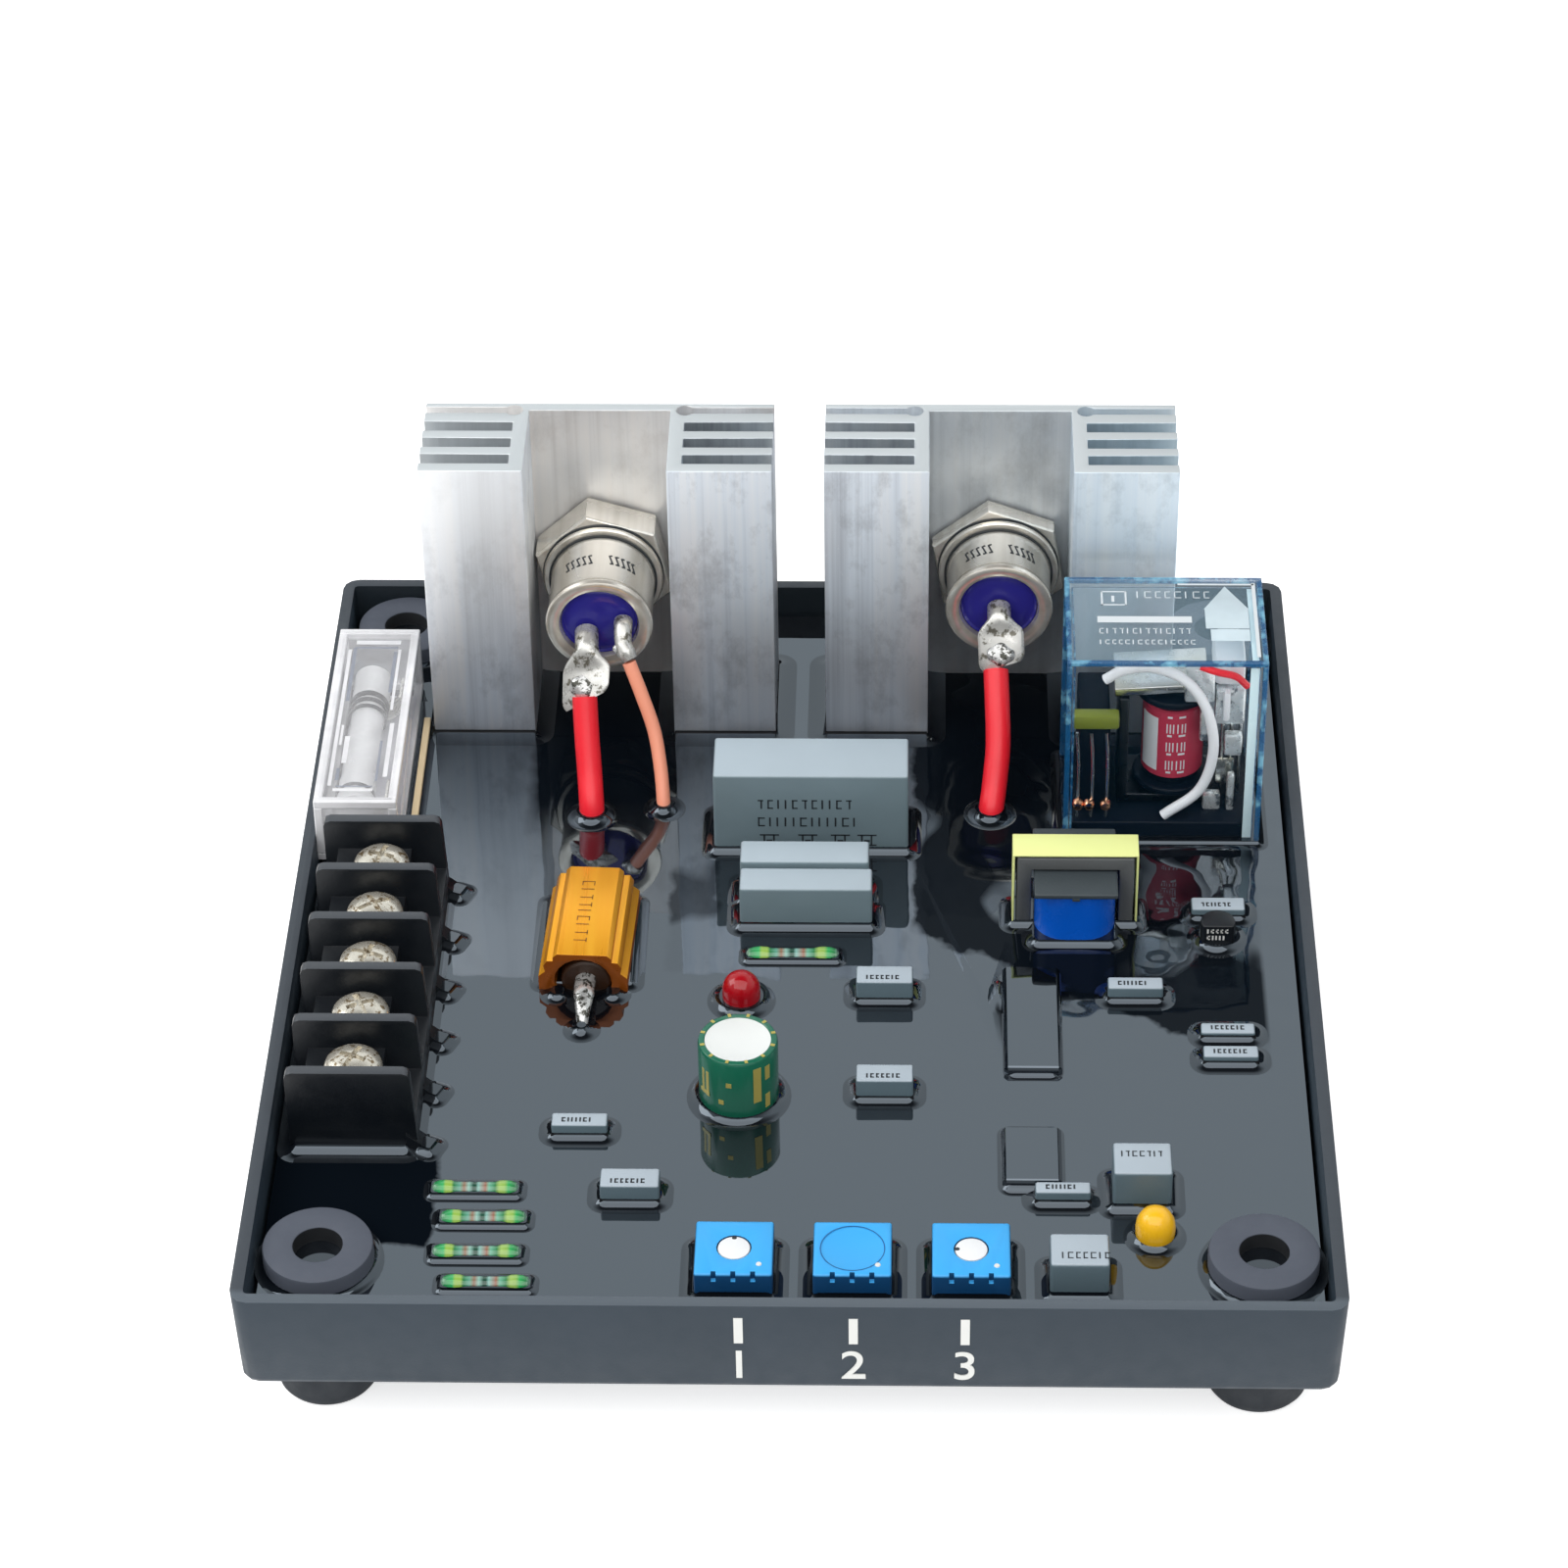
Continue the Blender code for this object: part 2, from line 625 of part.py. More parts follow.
def make_board(laminate):
    """The circuit board, notched round the feet, with its small capacitors, axial resistors and chips."""
    bm = bmesh.new()
    block(bm, (2 * BOARD_X, 2 * BOARD_Y, BOARD_THICKNESS))
    board = add_mesh("circuit_board", bm, laminate, (0, 0, BOARD_BASE))
    for name, (x, y) in foot_places().items():
        reach_x = BOARD_X - abs(x) + RING_RADIUS + GAP
        reach_y = BOARD_Y - abs(y) + RING_RADIUS + GAP
        bm = bmesh.new()
        block(bm, (2 * reach_x, 2 * reach_y, 3 * BOARD_THICKNESS))
        corner = (math.copysign(BOARD_X, x), math.copysign(BOARD_Y, y), BOARD_BASE - BOARD_THICKNESS)
        cut(board, add_mesh("board_notch_" + name, bm, None, corner))
    root = GAP + BOARD_THICKNESS / 2
    for i, (size, place) in enumerate(FILM_CAPACITORS):
        bm = bmesh.new()
        verts = block(bm, (size[0], size[1], size[2] + root))
        round_edges(bm, verts, BOX_CAPACITOR_EDGE, 1, lambda e: max(v.co.z for v in e.verts) > size[2] / 2)
        join(board, add_mesh(f"film_capacitor_{i + 1}", bm, laminate, on_board(place, SEAT - root)))
        pocket_box(f"film_capacitor_{i + 1}", size, on_board(place))
    for i, (length, place) in enumerate(AXIAL_RESISTORS):
        join(board, axial_resistor(f"axial_resistor_{i + 1}", length, place, laminate))
        pocket_box(f"axial_resistor_{i + 1}", (length, 2 * AXIAL_END_RADIUS), on_board(place))
    for i, (size, place) in enumerate(CHIPS):
        bm = bmesh.new()
        block(bm, (size[0], size[1], size[2] + root))
        join(board, add_mesh(f"chip_{i + 1}", bm, laminate, on_board(place, SEAT - root)))
        pocket_box(f"chip_{i + 1}", size, on_board(place), top=SEAT + size[2] + GAP)


def axial_resistor(name, length, place, material):
    """A waisted body lying along X, with a leg at each end into the board."""
    half = length / 2
    bm = bmesh.new()
    rings = (
        (half, 0.5 * AXIAL_END_RADIUS),
        (0.9 * half, AXIAL_END_RADIUS),
        (0.6 * half, AXIAL_END_RADIUS),
        (0.5 * half, AXIAL_WAIST_RADIUS),
    )
    profile = [(r, z) for z, r in rings] + [(r, -z) for z, r in reversed(rings)]
    verts = [bm.verts.new((0, 0, half))] + [bm.verts.new((r, 0, z)) for r, z in profile]
    verts.append(bm.verts.new((0, 0, -half)))
    edges = [bm.edges.new(pair) for pair in zip(verts, verts[1:])]
    bmesh.ops.spin(
        bm, geom=verts + edges, cent=(0, 0, 0), axis=(0, 0, 1), angle=2 * math.pi, steps=8, use_merge=True
    )
    bmesh.ops.remove_doubles(bm, verts=bm.verts, dist=0.000001)
    bmesh.ops.rotate(bm, matrix=Matrix.Rotation(math.pi / 2, 3, "Y"), verts=bm.verts)
    body = add_mesh(name, bm, material, on_board(place, SEAT + AXIAL_HEIGHT))
    for side in (-1, 1):
        bm = bmesh.new()
        drop = AXIAL_HEIGHT + GAP + BOARD_THICKNESS / 2
        rod(bm, AXIAL_LEG_RADIUS, drop, (0, 0, -drop), steps=8)
        leg = add_mesh(f"{name}_leg", bm, material, on_board(place, SEAT + AXIAL_HEIGHT))
        leg.location.x += side * 0.8 * half
        join(body, leg)
    return body


# Heat sinks and stud devices

def sink_outline():
    """Plan of the extrusion: a channel open to the front, with gaps between fins at each end."""
    half = SINK_WIDTH / 2
    inner = CHANNEL_WIDTH / 2 + CHANNEL_WALL
    side = [(half, 0.0)]
    for i in range(FIN_GAPS):
        width = FIN_GAP_REAR if i == FIN_GAPS - 1 else FIN_GAP
        middle = FIN_FIRST + i * FIN_PITCH
        side += [
            (half, middle - width / 2),
            (inner, middle - width / 2),
            (inner, middle + width / 2),
            (half, middle + width / 2),
        ]
    side.append((half, SINK_DEPTH))
    channel = [(CHANNEL_WIDTH / 2, SINK_DEPTH - CHANNEL_WEB), (CHANNEL_WIDTH / 2, 0.0)]
    right = side
    left = [(-x, y) for x, y in reversed(side)]
    return right + left + [(-x, y) for x, y in reversed(channel)] + channel


def make_sink(name, side, aluminium):
    centre_x = SINK_OFFSET + side * SINK_SPACING / 2
    front = SINK_REAR - SINK_DEPTH
    sink = extruded(name, sink_outline(), SINK_HEIGHT, aluminium, (centre_x, front, SEAT))
    slot_y = FIN_FIRST + (FIN_GAPS - 1) * FIN_PITCH
    for end in (-1, 1):
        bm = bmesh.new()
        rod(bm, SCREW_SLOT_RADIUS, SINK_HEIGHT * 1.1, steps=12)
        x = centre_x + end * (CHANNEL_WIDTH / 2 + CHANNEL_WALL)
        where = (x, front + slot_y, SEAT - SINK_HEIGHT * 0.05)
        cut(sink, add_mesh(f"{name}_screw_slot", bm, None, where))
    pocket_box(name, (SINK_WIDTH, SINK_DEPTH), (centre_x, SINK_REAR - SINK_DEPTH / 2))
    return sink, centre_x


def device_profile(hex_thickness, can_length):
    """(radius, distance from the sink) down the outside of a stud device, from the glass end to the stud's tip."""
    hex_end = GAP + hex_thickness
    collar_end = hex_end + COLLAR_THICKNESS
    can_end = collar_end + COLLAR_GROOVE + can_length
    end = can_end + LIP_THICKNESS
    well = end - SEAL_RECESS - SEAL_THICKNESS - GAP
    well_radius = SEAL_RADIUS + GAP
    return [
        (0.0, well),
        (well_radius, well),
        (well_radius, end - SEAL_RECESS),
        (LIP_RADIUS - 0.4 * LIP_THICKNESS, end),
        (LIP_RADIUS, end - 0.4 * LIP_THICKNESS),
        (LIP_RADIUS, can_end),
        (CAN_RADIUS, can_end),
        (CAN_RADIUS, collar_end + COLLAR_GROOVE),
        (CAN_RADIUS - COLLAR_GROOVE, collar_end + COLLAR_GROOVE),
        (CAN_RADIUS - COLLAR_GROOVE, collar_end),
        (COLLAR_RADIUS, collar_end),
        (COLLAR_RADIUS, GAP + hex_thickness / 2),
        (STUD_RADIUS, GAP + hex_thickness / 2),
        (STUD_RADIUS, -STUD_LENGTH + 0.0005),
        (STUD_RADIUS - 0.0005, -STUD_LENGTH),
        (0.0, -STUD_LENGTH),
    ], end


def make_device(name, sink, centre_x, height, turn, hex_thickness, can_length, nickel, glass, zinc):
    """A stud device on the channel's face, with the nut behind it. Its local +Z points out to the front."""
    axis = empty(name + "_axis", (centre_x, CHANNEL_FACE, SEAT + height), (math.pi / 2, 0, 0))
    profile, end = device_profile(hex_thickness, can_length)
    case = attach(turned(name + "_case", profile, nickel, (0, 0, 0)), axis)
    bm = bmesh.new()
    rod(bm, HEX_FLATS / math.sqrt(3), hex_thickness, (0, 0, GAP), steps=6, turn=math.pi / 2 + turn)
    join(case, attach(add_mesh(name + "_hex", bm, nickel), axis))
    seal_base = end - SEAL_RECESS - SEAL_THICKNESS
    seal_edge = SEAL_THICKNESS / 4
    seal_profile = [
        (0.0, seal_base + SEAL_THICKNESS),
        (SEAL_RADIUS - seal_edge, seal_base + SEAL_THICKNESS),
        (SEAL_RADIUS, seal_base + SEAL_THICKNESS - seal_edge),
        (SEAL_RADIUS, seal_base),
        (0.0, seal_base),
    ]
    attach(turned(name + "_glass_seal", seal_profile, glass, (0, 0, 0)), axis)
    bm = bmesh.new()
    rod(bm, STUD_RADIUS + GAP, 3 * CHANNEL_WEB, (0, 0, -2 * CHANNEL_WEB))
    hole = attach(add_mesh(name + "_sink_hole", bm, None), axis)
    cut(sink, hole)
    nut_face = -CHANNEL_WEB - GAP
    bm = bmesh.new()
    rod(bm, NUT_FLATS / math.sqrt(3), NUT_THICKNESS, (0, 0, nut_face - NUT_THICKNESS), steps=6)
    nut = attach(add_mesh(name + "_nut", bm, zinc), axis)
    bm = bmesh.new()
    rod(bm, STUD_RADIUS + GAP, 3 * NUT_THICKNESS, (0, 0, nut_face - 2 * NUT_THICKNESS))
    cut(nut, attach(add_mesh(name + "_nut_bore", bm, None), axis))
    return Vector((centre_x, CHANNEL_FACE - end + SEAL_RECESS, SEAT + height))


def lug_outline(neck, width, length):
    """Plan of a flattened solder lug: a neck that widens to a rounded blade."""
    shoulder = 0.45 * length
    corner = 0.2 * width
    right = [
        (neck, 0.0),
        (neck, 0.12 * length),
        (width / 2, shoulder),
        (width / 2, length - corner),
        (width / 2 - corner, length),
    ]
    return right + [(-x, y) for x, y in reversed(right)]


def make_lug(name, face, offset, bend, tip, width, tin):
    """A tube out of the glass at face, bent down and flattened to a blade that ends at tip.

    offset, bend and tip are (x, out of the glass, up) from the centre of the glass.
    """
    def world(step):
        return face + Vector((step[0], -step[1], step[2]))

    start = world((offset[0], GAP, offset[1]))
    knee, end = world(bend), world(tip)
    into_blade = knee + (end - knee) * 0.3
    route = smooth_route([start, start + Vector((0, -0.0009, 0)), knee, into_blade], 3)
    curve = tube_curve(name, route, NECK_TUBE_RADIUS, 1)
    lug = mesh_from_curve(name, curve, tin)
    blade_length = (end - knee).length
    slope = math.atan2(knee.z - end.z, knee.y - end.y)
    blade = extruded(
        name + "_blade", lug_outline(0.8 * NECK_TUBE_RADIUS, width, blade_length), LUG_THICKNESS, tin, knee,
        (slope, 0, math.pi + math.atan2(end.x - knee.x, knee.y - end.y)),
    )
    join(lug, blade)
    return end


def make_thyristor(sink, centre_x, nickel, glass, zinc, tin, red, orange):
    face = make_device(
        "thyristor", sink, centre_x, THYRISTOR_AXIS, THYRISTOR_TURN, THYRISTOR_HEX_THICKNESS, THYRISTOR_CAN_LENGTH,
        nickel, glass, zinc,
    )
    tip = make_lug(
        "thyristor_cathode_lug", face, (-0.0018, -0.0016), (-0.0016, 0.0038, -0.0028), (-0.0017, 0.0076, -0.0080),
        0.0058, tin,
    )
    entry = Vector((centre_x - 0.0008, tip.y - 0.0092, SEAT))
    level = RESIN_LEVEL
    lead(
        "thyristor_cathode_lead",
        [
            tip + Vector((0, -0.0003, -0.0006)),
            tip + Vector((0.0002, -0.0027, -0.0042)),
            tip + Vector((0.0005, -0.0055, -0.0081)),
            (entry.x, entry.y + 0.0006, level + 0.0010),
            (entry.x, entry.y, SEAT),
        ],
        LEAD_RADIUS, red,
    )
    pocket_box("thyristor_cathode_lead", (2 * LEAD_RADIUS, 2 * LEAD_RADIUS + 0.0012), (entry.x, entry.y + 0.0004))
    curve_points = [
        face + Vector((0.0032, -GAP, 0.0002)),
        face + Vector((0.0032, -0.0011, 0.0001)),
        face + Vector((0.0033, -0.0030, -0.0014)),
        face + Vector((0.0043, -0.0046, -0.0028)),
    ]
    mesh_from_curve(
        "thyristor_gate_lug", tube_curve("thyristor_gate_lug", smooth_route(curve_points, 3), 0.0010, 1), tin
    )
    start = curve_points[-1]
    gate_entry = Vector((centre_x + 0.0090, entry.y + 0.0017, SEAT))
    lead(
        "thyristor_gate_lead",
        [
            start + Vector((0.0002, -0.0003, -0.0005)),
            start + Vector((0.0024, -0.0022, -0.0045)),
            start + Vector((0.0041, -0.0045, -0.0090)),
            start + Vector((0.0048, -0.0074, -0.0135)),
            (gate_entry.x, gate_entry.y + 0.0006, level + 0.0006),
            (gate_entry.x, gate_entry.y, SEAT),
        ],
        GATE_LEAD_RADIUS, orange,
    )
    pocket_box(
        "thyristor_gate_lead", (2 * GATE_LEAD_RADIUS, 2 * GATE_LEAD_RADIUS + 0.0010),
        (gate_entry.x, gate_entry.y + 0.0003),
    )


def make_diode(sink, centre_x, nickel, glass, zinc, tin, red):
    face = make_device(
        "diode", sink, centre_x, DIODE_AXIS, DIODE_TURN, DIODE_HEX_THICKNESS, DIODE_CAN_LENGTH, nickel, glass, zinc
    )
    tip = make_lug(
        "diode_lug", face, (0.0, 0.0), (0.0001, 0.0030, -0.0011), (0.0004, 0.0062, -0.0057), 0.0060, tin
    )
    entry = Vector((centre_x - 0.0011, tip.y - 0.0142, SEAT))
    lead(
        "diode_lead",
        [
            tip + Vector((-0.0008, -0.0004, -0.0005)),
            tip + Vector((-0.0006, -0.0041, -0.0038)),
            tip + Vector((-0.0005, -0.0080, -0.0078)),
            tip + Vector((-0.0010, -0.0114, -0.0118)),
            (entry.x, entry.y + 0.0008, RESIN_LEVEL + 0.0012),
            (entry.x, entry.y, SEAT),
        ],
        LEAD_RADIUS, red,
    )
    pocket_box("diode_lead", (2 * LEAD_RADIUS, 2 * LEAD_RADIUS + 0.0014), (entry.x, entry.y + 0.0005))


# Relay

def make_relay(clear, black, copper, steel, white):
    right = INNER_X - RELAY_INSET_RIGHT
    centre = Vector((right - RELAY_WIDTH / 2, TRAY_DEPTH / 2 - RELAY_INSET_REAR - RELAY_DEPTH / 2, SEAT))
    size = (RELAY_WIDTH, RELAY_DEPTH, RELAY_HEIGHT)
    open_box("relay_cover", size, RELAY_WALL, RELAY_CORNER, RELAY_CORNER / 2, 0.0, clear, centre, open_top=False)
    pocket_box("relay", size, centre)
    inside = 2 * (RELAY_WALL + GAP)
    box_part(
        "relay_base", (RELAY_WIDTH - inside, RELAY_DEPTH - inside, RELAY_BASE_HEIGHT), centre, black
    )
    deck = RELAY_BASE_HEIGHT + GAP
    yoke_left = centre.x - 0.0059
    yoke = make_yoke(Vector((yoke_left, centre.y, centre.z + deck)), steel)
    coil_base = deck + YOKE_THICKNESS + GAP
    coil_x = yoke_left + YOKE_THICKNESS + GAP + COIL_FLANGE_RADIUS + 0.0006
    flange_top = COIL_HEIGHT
    turned(
        "relay_coil",
        [
            (0.0, flange_top),
            (COIL_FLANGE_RADIUS, flange_top),
            (COIL_FLANGE_RADIUS, flange_top - COIL_FLANGE),
            (COIL_RADIUS, flange_top - COIL_FLANGE),
            (COIL_RADIUS, COIL_FLANGE),
            (COIL_FLANGE_RADIUS, COIL_FLANGE),
            (COIL_FLANGE_RADIUS, 0.0),
            (0.0, 0.0),
        ],
        copper, (coil_x, centre.y, centre.z + coil_base), steps=ROUND_STEPS,
    )
    make_armature(yoke, centre, centre.z + coil_base + COIL_HEIGHT, steel)
    make_contacts(centre, deck, black)
    front = centre.y - RELAY_DEPTH / 2 + RELAY_WALL + 0.0016
    lead(
        "relay_braid",
        [
            (centre.x - 0.0081, front, centre.z + 0.0296),
            (centre.x - 0.0054, front, centre.z + 0.0313),
            (centre.x - 0.0018, front, centre.z + 0.0314),
            (centre.x + 0.0024, front, centre.z + 0.0292),
            (centre.x + 0.0055, front, centre.z + 0.0243),
            (centre.x + 0.0066, front, centre.z + 0.0178),
            (centre.x + 0.0052, front, centre.z + 0.0118),
            (centre.x + 0.0006, front, centre.z + deck + 0.0011),
        ],
        0.0008, white,
    )


def make_yoke(corner, steel):
    """An L of steel: a foot under the coil and an upright that carries the armature's knife edge."""
    height = YOKE_THICKNESS + 2 * GAP + COIL_HEIGHT
    outline = [
        (0.0, 0.0),
        (YOKE_WIDTH, 0.0),
        (YOKE_WIDTH, YOKE_THICKNESS),
        (YOKE_THICKNESS, YOKE_THICKNESS),
        (YOKE_THICKNESS, height),
        (0.0, height),
    ]
    where = (corner.x, corner.y + YOKE_DEPTH / 2, corner.z)
    extruded("relay_yoke", outline, YOKE_DEPTH, steel, where, (math.pi / 2, 0, 0))
    return Vector((corner.x + YOKE_THICKNESS / 2, corner.y, corner.z + height))


def make_armature(edge, centre, coil_top, steel):
    """The armature, hinged on the yoke's edge and held open by its spring. It closes on to the coil."""
    bm = bmesh.new()
    span = ARMATURE_LENGTH
    block(bm, (span, YOKE_DEPTH - 2 * GAP, YOKE_THICKNESS), (span / 2 - YOKE_THICKNESS, 0, 0))
    where = (edge.x, edge.y, max(edge.z, coil_top) + GAP)
    add_mesh("relay_armature", bm, steel, where, (0, -ARMATURE_OPEN, 0))


def make_contacts(centre, deck, black):
    """The contact block beside the yoke, with three fixed contacts and the spring that the braid is welded to."""
    bm = bmesh.new()
    block(bm, (0.0044, 0.0110, 0.0150))
    x = centre.x - RELAY_WIDTH / 2 + RELAY_WALL + 0.0032
    contacts = add_mesh("relay_contacts", bm, black, (x, centre.y, centre.z + deck))
    bm = bmesh.new()
    block(bm, (0.0052, 0.0120, 0.0028))
    join(contacts, add_mesh("relay_contact_cap", bm, black, (x, centre.y, centre.z + deck + 0.0145)))
    bm = bmesh.new()
    block(bm, (0.0016, 0.0060, 0.0070))
    join(contacts, add_mesh("relay_spring", bm, black, (x + 0.0012, centre.y - 0.0030, centre.z + deck + 0.0165)))
    for i in range(3):
        bm = bmesh.new()
        block(bm, (0.0008, 0.0030, 0.0030))
        where = (x + (i - 1) * 0.0014, centre.y - 0.0062, centre.z + deck)
        join(contacts, add_mesh(f"relay_contact_{i + 1}", bm, black, where))


# Fuse holder

def make_fuse_holder(clear, ivory, glass, brass):
    centre_x = FUSE_LEFT + FUSE_COVER_WIDTH / 2
    centre_y = FUSE_FRONT + FUSE_COVER_LENGTH / 2
    cover_base = RESIN_LEVEL + GAP
    size = (FUSE_COVER_WIDTH, FUSE_COVER_LENGTH, FUSE_COVER_HEIGHT)
    open_box(
        "fuse_cover", size, FUSE_COVER_WALL, 0.0006, 0.0004, 0.0002, clear, (centre_x, centre_y, cover_base),
        open_top=False,
    )
    inner = FUSE_COVER_WIDTH - 2 * (FUSE_COVER_WALL + GAP)
    base_y = FUSE_FRONT + FUSE_COVER_WALL + GAP + FUSE_BASE_LENGTH / 2
    base = box_part("fuse_base", (inner, FUSE_BASE_LENGTH, FUSE_BASE_HEIGHT), (centre_x, base_y, SEAT), ivory)
    foot_width = FUSE_COVER_WIDTH / 2 + FUSE_FLANGE
    foot_y = FUSE_FRONT + GAP + FUSE_FOOT_LENGTH / 2
    bm = bmesh.new()
    block(bm, (foot_width, FUSE_FOOT_LENGTH, RESIN_THICKNESS))
    join(base, add_mesh("fuse_base_foot", bm, ivory, (centre_x + foot_width / 2, foot_y, SEAT)))
    bm = bmesh.new()
    strip_x = centre_x + FUSE_COVER_WIDTH / 2 + GAP
    strip = FUSE_FLANGE - GAP
    block(bm, (strip, FUSE_FOOT_LENGTH - GAP, RESIN_THICKNESS + 0.0010))
    join(base, add_mesh("fuse_base_lip", bm, ivory, (strip_x + strip / 2, foot_y, SEAT + GAP)))
    pocket_box("fuse_base", (inner, FUSE_BASE_LENGTH), (centre_x, base_y))
    pocket_box("fuse_foot", (foot_width, FUSE_FOOT_LENGTH), (centre_x + foot_width / 2, foot_y))
    deck = SEAT + FUSE_BASE_HEIGHT + GAP
    axis_z = deck + CLIP_THICKNESS + GAP + FUSE_RADIUS
    fuse_y = FUSE_FRONT + FUSE_COVER_LENGTH / 2
    half = FUSE_LENGTH / 2
    turned(
        "fuse",
        [
            (0.0, half),
            (FUSE_RADIUS, half),
            (FUSE_RADIUS, half - FUSE_CAP),
            (FUSE_GLASS_RADIUS, half - FUSE_CAP),
            (FUSE_GLASS_RADIUS, -half + FUSE_CAP),
            (FUSE_RADIUS, -half + FUSE_CAP),
            (FUSE_RADIUS, -half),
            (0.0, -half),
        ],
        glass, (centre_x, fuse_y, axis_z), (math.pi / 2, 0, 0), steps=SMALL_STEPS,
    )
    inner_radius = FUSE_RADIUS + GAP
    outer_radius = inner_radius + CLIP_THICKNESS
    start = math.pi / 2 + CLIP_OPENING
    end = math.pi / 2 - CLIP_OPENING + 2 * math.pi
    outline = arc(outer_radius, start, end, 14) + arc(inner_radius, end, start, 14)
    for label, side in (("front", -1), ("rear", 1)):
        middle = fuse_y + side * (half - FUSE_CAP / 2 - 0.0004)
        where = (centre_x, middle + CLIP_LENGTH / 2, axis_z)
        extruded("fuse_clip_" + label, outline, CLIP_LENGTH, brass, where, (math.pi / 2, 0, 0))


# Terminal block

def make_terminal_block(moulding, steel):
    centre_x = BLOCK_LEFT + BARRIER_WIDTH / 2
    bm = bmesh.new()
    block(bm, (BARRIER_WIDTH, BLOCK_LENGTH, BLOCK_BASE_HEIGHT))
    body = add_mesh("terminal_block", bm, moulding, (centre_x, BLOCK_CENTRE_Y, SEAT))
    bm = bmesh.new()
    left = (BARRIER_WIDTH - PEDESTAL_WIDTH) / 4
    block(bm, (PEDESTAL_WIDTH, BLOCK_LENGTH - BARRIER_THICKNESS, PEDESTAL_HEIGHT), (-left, 0, 0))
    join(body, add_mesh("terminal_pedestal", bm, moulding, (centre_x, BLOCK_CENTRE_Y, SEAT)))
    for i in range(POLES + 1):
        y = BLOCK_FRONT + BARRIER_THICKNESS / 2 + i * POLE_PITCH
        bm = bmesh.new()
        verts = block(bm, (BARRIER_WIDTH + 2 * GAP, BARRIER_THICKNESS, BARRIER_HEIGHT))
        for vert in verts:
            if vert.co.z > BARRIER_HEIGHT / 2 and vert.co.x > 0:
                vert.co.x -= BARRIER_TAPER
        top_ends = lambda e: all(v.co.z > BARRIER_HEIGHT / 2 for v in e.verts) and e.verts[0].co.x * e.verts[1].co.x > 0
        round_edges(bm, verts, BARRIER_CORNER, 2, top_ends)
        join(body, add_mesh(f"barrier_{i + 1}", bm, moulding, (centre_x, y, SEAT)))
        bm = bmesh.new()
        for vert in block(bm, (BLOCK_FOOT * 2, BARRIER_THICKNESS * 1.6, BLOCK_FOOT_HEIGHT), (BARRIER_WIDTH / 2, 0, 0)):
            if vert.co.z > BLOCK_FOOT_HEIGHT / 2 and vert.co.x > BARRIER_WIDTH / 2:
                vert.co.z = RESIN_THICKNESS + BLOCK_FOOT_RISE
        join(body, add_mesh(f"barrier_foot_{i + 1}", bm, moulding, (centre_x, y, SEAT)))
    pocket_box(
        "terminal_block", (BARRIER_WIDTH + 2 * GAP, BLOCK_LENGTH), (centre_x, BLOCK_CENTRE_Y)
    )
    for i in range(POLES + 1):
        y = BLOCK_FRONT + BARRIER_THICKNESS / 2 + i * POLE_PITCH
        pocket_box(
            f"terminal_foot_{i + 1}", (2 * BLOCK_FOOT, 1.6 * BARRIER_THICKNESS), (centre_x + BARRIER_WIDTH / 2, y)
        )
    screw_x = BLOCK_LEFT + SCREW_FROM_LEFT
    seat = SEAT + PEDESTAL_HEIGHT + GAP
    for i in range(POLES):
        y = BLOCK_FRONT + BARRIER_THICKNESS / 2 + (i + 0.5) * POLE_PITCH
        bm = bmesh.new()
        rod(bm, SCREW_SHANK_RADIUS + GAP, PEDESTAL_HEIGHT, steps=SMALL_STEPS)
        hole_base = seat - SCREW_SHANK_LENGTH - GAP
        cut(body, add_mesh(f"screw_hole_{i + 1}", bm, None, (screw_x, y, hole_base)))
        make_terminal_screw(f"terminal_screw_{i + 1}", (screw_x, y, seat), steel)


def make_terminal_screw(name, seat, steel):
    """A domed screw with a cross recess. Its origin is on its axis, under the head."""
    head = [
        (SCREW_HEAD_RADIUS * math.cos(a), 0.3 * SCREW_HEAD_HEIGHT + 0.7 * SCREW_HEAD_HEIGHT * math.sin(a))
        for a in (math.pi / 2, math.pi / 3, math.pi / 6, 0.0)
    ]
    head[0] = (0.0, SCREW_HEAD_HEIGHT)
    profile = head + [
        (SCREW_HEAD_RADIUS, 0.0),
        (SCREW_SHANK_RADIUS, 0.0),
        (SCREW_SHANK_RADIUS, -SCREW_SHANK_LENGTH),
        (0.0, -SCREW_SHANK_LENGTH),
    ]
    screw = turned(name, profile, steel, seat, steps=SMALL_STEPS)
    for turn in (0.0, math.pi / 2):
        bm = bmesh.new()
        length = 3 * SCREW_HEAD_RADIUS if turn else 1.1 * SCREW_HEAD_RADIUS
        block(bm, (length, SCREW_SLOT_WIDTH, SCREW_HEAD_HEIGHT))
        slot = add_mesh(f"{name}_slot", bm, None, Vector(seat) + Vector((0, 0, SCREW_HEAD_HEIGHT - SCREW_SLOT_DEPTH)))
        slot.rotation_euler.z = turn + math.radians(35)
        cut(screw, slot)


# Trimmers

